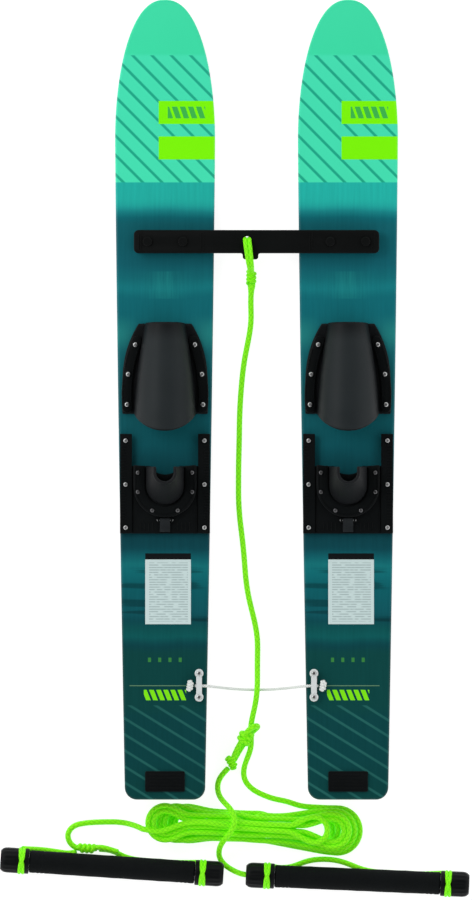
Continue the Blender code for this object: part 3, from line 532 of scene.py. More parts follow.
class Finish(Enum):
    """Every finish on the model."""

    DECK_LEFT = DeckPrint("deck_print_left", SKI_LENGTH)
    # painted light: the right deck is painted 8 % brighter, as if lit more brightly than the left
    DECK_RIGHT = DeckPrint("deck_print_right", SKI_LENGTH, 1.08)
    BASE = Moulded("gloss_black_base", tone(17, 21, 23), 0.34, 500.0, 0.00004)
    BLACK = Moulded("satin_black_moulding", tone(10, 13, 14), 0.42)
    BAR = Moulded("grained_black_moulding", tone(9, 11, 11), 0.48, 700.0, 0.00015)
    RUBBER = Domed("binding_rubber", tone(33, 38, 40), tone(13, 16, 18), (0.12, 0.31), (0.80, 1.0))
    CUP = Domed("cup_rubber", tone(20, 22, 24), tone(15, 17, 18), (0.52, 0.60), (1.1, 1.2))
    PAD = Moulded("pad_rubber", tone(18, 19, 20), 0.7)
    LEVER = Moulded("smoke_grey_moulding", tone(34, 37, 39), 0.35)
    CAP = Moulded("cap_rubber", tone(11, 13, 14), 0.45, 800.0, 0.00012)
    WHITE = Moulded("gloss_white_moulding", tone(212, 217, 217), 0.35, 600.0, 0.00005, 0.05)
    GRIP = Foam("closed_cell_foam", tone(13, 16, 17))
    STEEL = Metal("screw_steel", tone(190, 191, 191), 0.35)
    DARK_STEEL = Metal("dull_screw_steel", tone(110, 110, 112), 0.45)
    TUBE = Metal("handle_alloy", tone(190, 192, 195), 0.28)
    ROPE = Braid("lime_braid", tone(142, 250, 14), tone(84, 206, 6), glow=0.16)
    CORD = Braid("white_braid", tone(226, 228, 224), tone(150, 156, 156), 3, 0.0040, 0.0003, 0.35)
    FLOOR = Backdrop("studio_floor", (0.28, 0.28, 0.28), 0.88)

    def made(self) -> Material:
        """The finish as a material, made the first time that it is asked for."""
        if self.name not in MADE:
            MADE[self.name] = self.value.material()
        return MADE[self.name]


# ---------------------------------------------------------------- surfaces


class Surface:
    """Grids, fans and flat caps gathered into one closed mesh."""

    def __init__(self) -> None:
        """Start with nothing."""
        self.points: list[Array] = []
        self.faces: list[Array] = []
        self.maps: list[Array] = []
        self.wears: list[Array] = []
        self.wear = 0
        self.count = 0

    def put(self, points: Array) -> Array:
        """Add points and return their numbers."""
        flat = points.reshape(-1, 3)
        numbers = self.count + np.arange(len(flat))
        self.points.append(flat)
        self.count += len(flat)
        return numbers.reshape(points.shape[:-1])

    def face(self, corners: Array, lay: Array | None = None) -> None:
        """Add faces of equal corner count, with their surface map."""
        self.faces.append(corners)
        self.wears.append(np.full(len(corners), self.wear, np.int32))
        self.maps.append(np.zeros((*corners.shape, 2)) if lay is None else lay)

    def grid(self, points: Array, wrap: tuple[bool, bool] = (False, False), lay: Array | None = None) -> Array:
        """Add a grid of quads.

        Args:
            points: rows by columns by 3.
            wrap: whether the rows and the columns close on themselves.
            lay: the surface map, one row or column longer where the grid wraps.

        Returns:
            The numbers of the grid's points.
        """
        numbers = self.put(points)
        rows = np.concatenate([numbers, numbers[:1]], 0) if wrap[0] else numbers
        rows = np.concatenate([rows, rows[:, :1]], 1) if wrap[1] else rows
        def quads(values: Array) -> Array:
            """The four corners of each cell."""
            return np.stack([values[:-1, :-1], values[1:, :-1], values[1:, 1:], values[:-1, 1:]], 2)
        corners = quads(rows).reshape(-1, 4)
        self.face(corners, None if lay is None else quads(lay).reshape(-1, 4, 2))
        return numbers

    def join(self, first: Array, second: Array, wrap: bool = False) -> None:
        """Bridge two rows of points that already exist."""
        rows = np.stack([first, second])
        if wrap:
            rows = np.concatenate([rows, rows[:, :1]], 1)
        self.face(np.stack([rows[0, :-1], rows[1, :-1], rows[1, 1:], rows[0, 1:]], 1))

    def cap(self, ring: Array) -> None:
        """Close a ring with one flat face."""
        self.face(ring.reshape(1, -1))

    def fan(self, ring: Array, centre: Array, lay: Array | None = None) -> None:
        """Close a ring with triangles round a centre point."""
        middle = self.put(centre.reshape(1, 3))[0]
        after = np.roll(ring, -1)
        self.face(np.stack([ring, after, np.full_like(ring, middle)], 1), lay)

    def build(self, name: str, *finishes: Finish, crease: float = 38.0) -> Object:
        """Make the object, with its faces pointing outwards.

        Args:
            name: the piece's name.
            finishes: the finishes, in the order of the faces' wear numbers.
            crease: edges sharper than this many degrees stay sharp.

        Returns:
            The new object, at the origin.
        """
        mesh = bpy.data.meshes.new(name)
        points = np.concatenate(self.points).astype(np.float32)
        sizes = np.concatenate([np.full(len(f), f.shape[1]) for f in self.faces]).astype(np.int32)
        corners = np.concatenate([f.ravel() for f in self.faces]).astype(np.int32)
        mesh.vertices.add(len(points))
        mesh.vertices.foreach_set("co", points.ravel())
        mesh.loops.add(len(corners))
        mesh.loops.foreach_set("vertex_index", corners)
        mesh.polygons.add(len(sizes))
        mesh.polygons.foreach_set("loop_start", np.concatenate([[0], np.cumsum(sizes)[:-1]]).astype(np.int32))
        mesh.polygons.foreach_set("loop_total", sizes)
        mesh.polygons.foreach_set("material_index", np.concatenate(self.wears))
        mesh.update(calc_edges=True)
        uv = mesh.uv_layers.new(name="lay")
        uv.data.foreach_set("uv", np.concatenate([m.reshape(-1) for m in self.maps]).astype(np.float32))
        mesh.validate()
        work = bmesh.new()
        work.from_mesh(mesh)
        bmesh.ops.remove_doubles(work, verts=work.verts, dist=1e-7)
        bmesh.ops.recalc_face_normals(work, faces=work.faces)
        work.to_mesh(mesh)
        work.free()
        mesh.shade_smooth()
        mesh.set_sharp_from_angle(angle=math.radians(crease))
        piece = bpy.data.objects.new(name, mesh)
        bpy.context.scene.collection.objects.link(piece)
        for finish in finishes:
            mesh.materials.append(finish.made())
        return piece


def reach_along(line: Array) -> Array:
    """Each point's distance from the start, along the line."""
    return np.concatenate([[0.0], np.cumsum(np.linalg.norm(np.diff(line, axis=0), axis=1))])


def unit(vectors: Array) -> Array:
    """The same directions at length 1."""
    return vectors / np.maximum(np.linalg.norm(vectors, axis=-1, keepdims=True), 1e-12)


def smooth_line(points: Array, step: float) -> Array:
    """Even points on the natural cubic through the given ones, spaced by chord length.

    Args:
        points: the points that the line passes through.
        step: the wanted spacing.

    Returns:
        The line's points.
    """
    points = np.asarray(points, float)
    gaps = np.linalg.norm(np.diff(points, axis=0), axis=1)
    knots = reach_along(points)
    count = len(points)
    system = np.eye(count)
    right = np.zeros((count, 3))
    inner = np.arange(1, count - 1)
    system[inner, inner - 1] = gaps[:-1]
    system[inner, inner] = 2 * (gaps[:-1] + gaps[1:])
    system[inner, inner + 1] = gaps[1:]
    slopes = np.diff(points, axis=0) / gaps[:, None]
    right[1:-1] = 6 * np.diff(slopes, axis=0)
    curl = np.linalg.solve(system, right)
    fine = np.linspace(0, knots[-1], max(8, int(knots[-1] / 0.0005)))
    at = np.clip(np.searchsorted(knots, fine, side="right") - 1, 0, count - 2)
    h, a, b = gaps[at, None], (knots[at + 1] - fine)[:, None], (fine - knots[at])[:, None]
    line = (curl[at] * a ** 3 + curl[at + 1] * b ** 3) / (6 * h) + (
        points[at] / h - curl[at] * h / 6) * a + (points[at + 1] / h - curl[at + 1] * h / 6) * b
    return even(line, step)


def even(line: Array, step: float) -> Array:
    """The same line with its points a step apart."""
    reach = reach_along(line)
    wanted = np.linspace(0, reach[-1], max(4, int(round(reach[-1] / step)) + 1))
    return np.stack([np.interp(wanted, reach, line[:, k]) for k in range(3)], 1)


def eased(share: Array) -> Array:
    """A share from 0 to 1 with a soft start and end."""
    share = np.clip(share, 0, 1)
    return share * share * (3 - 2 * share)


def length_of(line: Array) -> float:
    """The length of a line of points."""
    return float(np.linalg.norm(np.diff(line, axis=0), axis=1).sum())


def tube(surface: Surface, line: Array, radius: Array | float, up: Sequence[float] = (0, 0, 1),
         around: int = 14, closed: bool = False, braid: tuple[int, float] | None = None) -> None:
    """Carry a round section along a line, with domed ends.

    A ring lies across the line at each point: centre + radius * (cos(turn) * side + sin(turn) * top),
    where side is the line's direction crossed with up, and top is square to both. With braid, a count
    and a pitch, the radius swells by 4.5 % * cos(count * turn + q) * cos(count * turn - q), where
    q = 2 pi * reach / pitch, which gives the knuckles of a round braid.
    """
    ahead = np.gradient(line, axis=0)
    if closed:
        ahead = np.roll(line, -1, 0) - np.roll(line, 1, 0)
    ahead = unit(ahead)
    side = unit(np.cross(ahead, np.asarray(up, float)))
    top = np.cross(side, ahead)
    turn = np.arange(around) * TURN / around
    radius = np.broadcast_to(np.asarray(radius, float), (len(line),))
    ring = np.cos(turn)[None, :, None] * side[:, None] + np.sin(turn)[None, :, None] * top[:, None]
    reach = reach_along(line)
    swell = np.ones((len(line), around))
    if braid is not None:
        q = (TURN * reach / braid[1])[:, None]
        swell += 0.045 * np.cos(braid[0] * turn + q) * np.cos(braid[0] * turn - q)
    rows = line[:, None] + (radius[:, None] * swell)[..., None] * ring
    if closed:
        reach = np.append(reach, reach[-1] + np.linalg.norm(line[0] - line[-1]))
    lay = np.stack(np.meshgrid(np.linspace(0, 1, around + 1), reach), 2)
    numbers = surface.grid(rows, (closed, True), lay)
    if closed:
        return
    for end, way in ((0, -1), (-1, 1)):
        inner = surface.put(line[end] + way * ahead[end] * radius[end] * 0.35 + radius[end] * 0.72 * ring[end])
        surface.join(numbers[end], inner, True)
        surface.fan(inner, line[end] + way * ahead[end] * radius[end] * 0.5)


def turned(surface: Surface, profile: Array, place: Place, steps: int = 48,
           flutes: int = 0, depth: float = 0.0, fluted: Callable[[Array], Array] | None = None) -> None:
    """Turn a profile about its own z axis: (r cos a, r sin a, z). Ends on the axis become poles.

    With flutes, r is less by depth * fluted(z) * (1 - |cos(flutes * a / 2)|) ** 0.5.
    """
    profile = np.asarray(profile, float)
    angle = np.arange(steps) * TURN / steps
    closed = np.allclose(profile[0], profile[-1])
    body = profile[:-1] if closed else profile
    poles = [] if closed else [k for k in (0, -1) if body[k, 0] < 1e-9]
    ring = body[(1 if 0 in poles else 0):(len(body) - 1 if -1 in poles else len(body))]
    wide = np.repeat(ring[:, :1], steps, 1)
    if fluted is not None:
        wide = wide - depth * fluted(ring[:, 1:]) * np.sqrt(1 - np.abs(np.cos(0.5 * flutes * angle)))
    rows = np.stack([wide * np.cos(angle), wide * np.sin(angle), np.repeat(ring[:, 1:], steps, 1)], 2)
    reach = reach_along(ring)
    reach = np.append(reach, reach[-1]) if closed else reach
    lay = np.stack(np.meshgrid(np.linspace(0, 1, steps + 1), reach), 2)
    numbers = surface.grid(place(rows), (closed, True), lay)
    for pole in poles:
        surface.fan(numbers[pole], place(np.array([[0.0, 0.0, body[pole, 1]]])))


def offset_plan(outline: Array, inward: float) -> Array:
    """A plan outline moved inwards, each point along the mean of its two edges' normals."""
    before, after = outline - np.roll(outline, 1, 0), np.roll(outline, -1, 0) - outline
    def normal(edge: Array) -> Array:
        """Each edge's unit normal."""
        edge = unit(edge)
        return np.stack([-edge[:, 1], edge[:, 0]], 1)
    mean = normal(before) + normal(after)
    size = np.maximum((mean ** 2).sum(1), 0.6)[:, None]
    area = 0.5 * np.sum(outline[:, 0] * np.roll(outline[:, 1], -1) - np.roll(outline[:, 0], -1) * outline[:, 1])
    return outline + math.copysign(inward, area) * 2 * mean / size


def plate(surface: Surface, outline: Array, low: float, high: float, place: Place,
          fillet: float = 0.0008, holes: Sequence[Array] = (), steps: int = 3) -> None:
    """A flat plate with rounded edges, and holes straight through it.

    An outline is drawn in by fillet * (1 - sin a) at the height fillet * (1 - cos a) from a face,
    for a quarter turn of a at each face; a hole's outline is drawn out by the same amount.
    """
    turns = np.linspace(0, math.pi / 2, steps + 1)
    ladder = [(fillet * (1 - math.sin(a)), low + fillet * (1 - math.cos(a))) for a in turns]
    ladder += [(fillet * (1 - math.sin(a)), high - fillet * (1 - math.cos(a))) for a in turns[::-1]]
    rings = []
    for index, loop in enumerate((outline, *holes)):
        sign = -1 if index else 1
        rows = np.stack([np.column_stack([offset_plan(loop, sign * inward), np.full(len(loop), height)])
                         for inward, height in ladder])
        rings.append((rows, surface.grid(place(rows), (False, True))))
    for end in (0, -1):
        if holes:
            loops = [[Vector(point) for point in rows[end]] for rows, _ in rings]
            numbers = np.concatenate([numbers[end] for _, numbers in rings])
            surface.face(numbers[np.array(tessellate_polygon(loops))])
        else:
            surface.cap(rings[0][1][end])


def border(values: Array) -> Array:
    """What stands round the edge of a grid, in order."""
    return np.concatenate([values[0, :-1], values[:-1, -1], values[-1, :0:-1], values[:0:-1, 0]])


def walled(surface: Surface, inner: Array, thickness: Array | float) -> None:
    """Give a sheet of points a wall, with half-round rims.

    The outer face is inner + thickness * normal, and the rim goes round the middle of the wall. Both
    faces are mapped from 0 to 1 each way.
    """
    normal = unit(np.cross(np.gradient(inner, axis=0), np.gradient(inner, axis=1)))
    thick = np.broadcast_to(np.asarray(thickness, float), inner.shape[:2])[:, :, None]
    outer = inner + normal * thick
    lay = np.stack(np.meshgrid(*(np.linspace(0, 1, n) for n in inner.shape[:2]), indexing="ij"), 2)
    low, high = surface.grid(inner, lay=lay), surface.grid(outer, lay=lay)
    middle = 0.5 * (inner + outer)
    out_along, out_across = np.zeros_like(inner), np.zeros_like(inner)
    out_along[0], out_along[-1] = inner[0] - inner[1], inner[-1] - inner[-2]
    out_across[:, 0], out_across[:, -1] = inner[:, 0] - inner[:, 1], inner[:, -1] - inner[:, -2]
    out = unit(unit(out_along) + unit(out_across))
    half = 0.5 * thick
    last = border(low)
    for turn in (-45, 0, 45):
        a = math.radians(turn)
        ring = border(middle + out * half * math.cos(a) * 0.8 + normal * half * math.sin(a))
        numbers = surface.put(ring)
        surface.join(last, numbers, True)
        last = numbers
    surface.join(last, border(high), True)


def arc(centre: Sequence[float], radius: float, start: float, end: float, steps: int) -> Array:
    """Points on an arc from start to end, in degrees: centre + radius * (cos a, sin a)."""
    a = np.radians(np.linspace(start, end, steps + 1))
    return np.stack([centre[0] + radius * np.cos(a), centre[1] + radius * np.sin(a)], 1)


def rounded_box(centre: Sequence[float], size: Sequence[float], radius: float, steps: int = 6) -> Array:
    """A rectangle's outline with round corners."""
    x, y = 0.5 * size[0] - radius, 0.5 * size[1] - radius
    corners = [((x, y), 0), ((-x, y), 90), ((-x, -y), 180), ((x, -y), 270)]
    return np.concatenate([arc((centre[0] + a, centre[1] + b), radius, turn, turn + 90, steps)
                           for (a, b), turn in corners])


def dense(outline: Array, step: float) -> Array:
    """The same closed outline with extra points on its long edges."""
    parts = []
    for a, b in zip(outline, np.roll(outline, -1, 0)):
        count = max(1, int(np.linalg.norm(b - a) / step))
        parts.append(a + (b - a) * (np.arange(count) / count)[:, None])
    return np.concatenate(parts)


def wear_pieces(piece: Object, body: str, slot: str, *nodes: str) -> Object:
    """Let a piece ride on its body and stand for its solids, and report it."""
    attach(piece, body)
    if nodes:
        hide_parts(*nodes)
    LOG.info("%s on %s, %d faces", piece.name, body, len(piece.data.polygons))
    return piece


def finished(surface: Surface, name: str, finish: Finish, body: str, slot: str, *nodes: str,
             crease: float = 38.0) -> Object:
    """Build a surface as one piece with one finish, and let it ride on its body."""
    return wear_pieces(surface.build(name, finish, crease=crease), body, slot, *nodes)


# ---------------------------------------------------------------- where things lie


class Side(Enum):
    """A ski, with its direction from the middle of the pair."""

    LEFT = -1
    RIGHT = 1

    @property
    def word(self) -> str:
        """The side's name in piece names."""
        return self.name.lower()


def ways(side: Side) -> tuple[tuple[str, int], tuple[str, int]]:
    """The outer and the inner direction on a ski, as a word and a sign."""
    return ("outer", side.value), ("inner", -side.value)


@dataclass(frozen=True)
class Stance:
    """How the pair rests on the floor: on its fins and on the bellies below the tips."""

    length: float = SKI_LENGTH
    spacing: float = 0.2684
    thickness: float = 0.014
    tip_thickness: float = 0.009
    rocker_start: float = 0.880
    rocker_rise: float = 0.072
    fin_depth: float = 0.036
    fin_contact: float = 0.066

    def attitude(self) -> Triple:
        """The nose-down slope, the height of the tail and the tail's place along Y."""
        curl = self.rocker_rise / (self.length - self.rocker_start) ** 2
        reach = self.rocker_start - self.fin_contact
        past = math.sqrt(reach ** 2 + self.fin_depth / curl) - reach
        slope = math.atan(2 * curl * past)
        lift = self.fin_contact * math.sin(slope) + self.fin_depth * math.cos(slope)
        top = self.rocker_rise + self.tip_thickness
        return slope, lift, -0.5 * (self.length * math.cos(slope) + top * math.sin(slope))

    def ski(self, side: Side | None, shift: Sequence[float] = (0, 0, 0)) -> Place:
        """Carry a ski's own (across, along, up) onto the floor's frame.

        Args:
            side: the ski, or None for the middle of the pair.
            shift: added to the points first.

        Returns:
            A function of points: x = across, y = tail + along cos + up sin, z = lift - along sin + up cos.
        """
        slope, lift, tail = self.attitude()
        across = 0.5 * self.spacing * (side.value if side else 0)
        cos, sin = math.cos(slope), math.sin(slope)

        def place(points: Array) -> Array:
            """Turn and move the points."""
            u, s, w = (points[..., k] + shift[k] for k in range(3))
            return np.stack([across + u, tail + s * cos + w * sin, lift - s * sin + w * cos], -1)
        return place

    def deck(self, side: Side | None, shift: Sequence[float] = (0, 0, 0)) -> Place:
        """The same from the flat part of the deck."""
        return self.ski(side, (shift[0], shift[1], shift[2] + self.thickness))


STANCE = Stance()


def along_s(place: Place) -> Place:
    """Stand a plate up across the ski: its (a, b, c) becomes (across a, along c, up b)."""
    return lambda p: place(np.stack([p[..., 0], p[..., 2], p[..., 1]], -1))


def across_u(place: Place) -> Place:
    """Stand a plate up along the ski: its (a, b, c) becomes (across c, along a, up b)."""
    return lambda p: place(np.stack([p[..., 2], p[..., 0], p[..., 1]], -1))


@dataclass(frozen=True)
class Screw:
    """A pan-headed screw with a hexagon socket."""

    radius: float = 0.0036
    height: float = 0.0022
    socket: float = 0.0014

    def add(self, surface: Surface, place: Place) -> None:
        """Add the head, standing on the plane z = 0 of place."""
        r, h, k = self.radius, self.height, self.socket
        profile = [(0, h * 0.35), (k, h * 0.35), (k, h * 0.98), (r * 0.55, h), (r * 0.8, h * 0.86),
                   (r * 0.96, h * 0.52), (r, h * 0.2), (r * 0.98, 0), (0, 0)]
        turned(surface, np.array(profile), place, 18)


# ---------------------------------------------------------------- boards and bar


@dataclass
class Boards:
    """The two skis with their fins and tail plates."""

    half_widest: float = 0.0734
    half_tail: float = 0.0587
    side_power: float = 1.25
    tip: float = 0.200
    tip_power: float = 2.3
    corner: float = 0.018
    top_round: float = 0.0032
    base_round: float = 0.0024

    def half_width(self, s: Array) -> Array:
        """Half the width at s: a power taper, round tail corners and a rounded tip."""
        widest = SKI_LENGTH - self.tip
        def side(at: Array) -> Array:
            """Half the width without the corners."""
            return self.half_widest - (self.half_widest - self.half_tail) * (
                np.maximum(widest - at, 0) / widest) ** self.side_power
        tail = side(np.float64(self.corner)) - self.corner + np.sqrt(
            np.maximum(self.corner ** 2 - (self.corner - s) ** 2, 0))
        share = np.clip((s - widest) / self.tip, 0, 1)
        tip = self.half_widest * (1 - share ** 2) ** (1 / self.tip_power)
        return np.where(s < self.corner, tail, np.where(s > widest, tip, side(s)))

    def stations(self) -> Array:
        """Places along the ski, close together at the tail and towards the tip."""
        widest = SKI_LENGTH - self.tip
        tail = np.array([0, 0.0002, 0.0006, 0.0012, 0.002, 0.003, 0.0044, 0.0062, 0.0085, 0.0115, 0.0145])
        tip = widest + self.tip * np.sin(np.radians(np.linspace(0, 90, 50)))
        return np.concatenate([tail, np.linspace(self.corner, widest, 190)[:-1], tip])

    def inset(self, u: Array, s: Array) -> Array:
        """The distance of each point to the ski's outline."""
        at = self.stations()
        half = self.half_width(at)
        line = np.concatenate([np.stack([-half, at], 1)[::-1], np.stack([half, at], 1)])
        a, b = line[:-1], line[1:]
        points = np.stack([u.ravel(), s.ravel()], 1)
        edge, size = b - a, np.maximum(((b - a) ** 2).sum(1), 1e-18)
        best = np.full(len(points), np.inf)
        for first in range(0, len(points), 2000):
            rel = points[first:first + 2000, None] - a[None]
            share = np.clip((rel * edge).sum(2) / size, 0, 1)
            gap = rel - share[..., None] * edge
            best[first:first + 2000] = np.sqrt((gap ** 2).sum(2).min(1))
        return best.reshape(u.shape)

    def rocker(self, s: Array) -> Array:
        """The running base's rise towards the tip: rise * share ** 2."""
        share = np.maximum(s - STANCE.rocker_start, 0) / (SKI_LENGTH - STANCE.rocker_start)
        return STANCE.rocker_rise * share ** 2

    def board(self, side: Side, finish: Finish) -> Object:
        """The board: deck and base over the same grid, their edges rounded by the inset.

        Near an edge the face drops by r - sqrt(r^2 - (r - inset)^2).

        Args:
            side: which ski.
            finish: the deck's print.

        Returns:
            The piece.
        """
        at = self.stations()
        half = self.half_width(at)[:, None]
        rim = np.array([0, 0.0002, 0.0006, 0.0012, 0.002, 0.003, 0.0042])
        squeeze = np.minimum(1, half / 0.012)
        inner = (half - rim[-1] * squeeze) * np.linspace(-1, 1, 27)[None, 1:-1]
        u = np.concatenate([-half + rim * squeeze, inner, half - rim[::-1] * squeeze], 1)
        s = np.repeat(at[:, None], u.shape[1], 1)
        inset = self.inset(u, s)
        thick = STANCE.thickness + (STANCE.tip_thickness - STANCE.thickness) * (
            np.maximum(s - STANCE.rocker_start, 0) / (SKI_LENGTH - STANCE.rocker_start))
        def drop(radius: float) -> Array:
            """How far the rounded edge lies below the face."""
            near = np.clip(radius - inset, 0, radius)
            return radius - np.sqrt(radius ** 2 - near ** 2)
        surface, place = Surface(), STANCE.ski(side)
        lay = np.stack([u, s], 2)
        top = surface.grid(place(np.stack([u, s, self.rocker(s) + thick - drop(self.top_round)], 2)), lay=lay)
        surface.wear = 1
        low = surface.grid(place(np.stack([u, s, self.rocker(s) + drop(self.base_round)], 2)), lay=lay)
        surface.join(border(low), border(top), True)
        piece = surface.build(f"board_{side.word}", finish, Finish.BASE)
        return wear_pieces(piece, ROOT, "ski_board", f"ski_{side.word}")

    def tail_plate(self, side: Side) -> None:
        """The black plate on the deck over the fin, with moulded bars."""
        surface, place = Surface(), STANCE.deck(side, (0, 0.0264, GAP))
        plate(surface, rounded_box((0, 0), (0.058, 0.030), 0.0022), 0, 0.0021, place, 0.0007)
        for y in np.linspace(-0.0095, 0.0095, 5):
            plate(surface, rounded_box((0, y), (0.046, 0.0021), 0.0010), 0.0015, 0.0025, place, 0.0004)
        finished(surface, f"tail_plate_{side.word}", Finish.BLACK,
                 ROOT, "black_plastic", f"fin_plate_{side.word}")

    def fin(self, side: Side) -> None:
        """The blade, rounded along its edges, on its thin flange."""
        surface, place = Surface(), STANCE.ski(side)
        depth, contact = STANCE.fin_depth, STANCE.fin_contact
        profile = [(0.0135, -0.0015), (0.0195, -0.0095), (0.0255, -0.0215), (0.0325, -depth + 0.0042),
                   (0.0350, -depth + 0.0012), (0.0380, -depth), (contact, -depth), (0.0705, -depth + 0.0022),
                   (0.0760, -depth + 0.0068), (0.0900, -0.0162), (0.1000, -0.0015)]
        plate(surface, dense(np.array(profile), 0.002), -0.002, 0.002, across_u(place), 0.0012)
        plate(surface, rounded_box((0, 0.058), (0.022, 0.092), 0.006), -GAP - 0.003, -GAP, place, 0.0009)
        finished(surface, f"fin_blade_{side.word}", Finish.BLACK, ROOT, "black_plastic", f"fin_{side.word}")

    def build(self) -> None:
        """Make both skis."""
        for side, finish in ((Side.LEFT, Finish.DECK_LEFT), (Side.RIGHT, Finish.DECK_RIGHT)):
            self.board(side, finish)
            self.tail_plate(side)
            self.fin(side)


@dataclass
class StabilizerBar:
    """The bar that joins the skis, its pads and its rope tab."""

    length: float = 0.360
    width: float = 0.034
    thickness: float = 0.010
    station: float = 0.818
    corner: float = 0.007
    tab: Triple = (-0.0088, 0.0115, 0.009)
    hole: Triple = (-0.0139, 0.8215, 0.0065)
    screw_offset: float = 0.026
    screw_hole: float = 0.0033
    pad: Triple = (0.084, 0.032, 0.008)
    lines: tuple[float, ...] = (0.0780, 0.0815, 0.1690, 0.1725)

    def screw_places(self) -> list[float]:
        """Where the four screws stand across the pair."""
        return [0.5 * STANCE.spacing * side + offset for side in (-1, 1)
                for offset in (-self.screw_offset, self.screw_offset)]

    def outline(self) -> Array:
        """A long rounded rectangle with the rope tab at its rear."""
        centre, half, reach = self.tab
        outline = rounded_box((0, self.station), (self.length, self.width), self.corner)
        rear = self.station - 0.5 * self.width
        tab = np.concatenate([
            arc((centre - half - 0.003, rear - 0.003), 0.003, 90, 0, 4),
            arc((centre - half + 0.004, rear - reach + 0.004), 0.004, 180, 270, 4),
            arc((centre + half - 0.004, rear - reach + 0.004), 0.004, 270, 360, 4),
            arc((centre + half + 0.003, rear - 0.003), 0.003, 180, 90, 4)])
        return np.concatenate([outline[:21], tab, outline[21:]])

    def build(self) -> None:
        """Make the bar with its fine raised lines, and the two pads."""
        low = self.pad[2] + 2 * GAP
        surface, place = Surface(), STANCE.deck(None, (0, 0, low))
        holes = [arc((x, self.station), self.screw_hole, 0, 360, 20)[:-1] for x in self.screw_places()]
        holes.append(arc(self.hole[:2], self.hole[2], 0, 360, 32)[:-1])
        plate(surface, dense(self.outline(), 0.012), 0, self.thickness, place, 0.0016, holes)
        for side in (-1, 1):
            for x in self.lines:
                plate(surface, rounded_box((side * x, self.station), (0.0014, 0.026), 0.0006),
                      self.thickness - 0.0004, self.thickness + 0.0006, place, 0.0003)
        finished(surface, "bar", Finish.BAR, ROOT, "black_plastic", "stabilizer_bar")
        for side in Side:
            surface, place = Surface(), STANCE.deck(side, (0, 0, GAP))
            holes = [arc((way * self.screw_offset, self.station), self.screw_hole, 0, 360, 20)[:-1]
                     for way in (-1, 1)]
            outline = dense(rounded_box((0, self.station), self.pad[:2], 0.006), 0.008)
            plate(surface, outline, 0, self.pad[2], place, 0.0012, holes)
            finished(surface, f"pad_{side.word}", Finish.PAD, ROOT, "bar_pad", f"bar_pad_{side.word}")


# ---------------------------------------------------------------- bindings


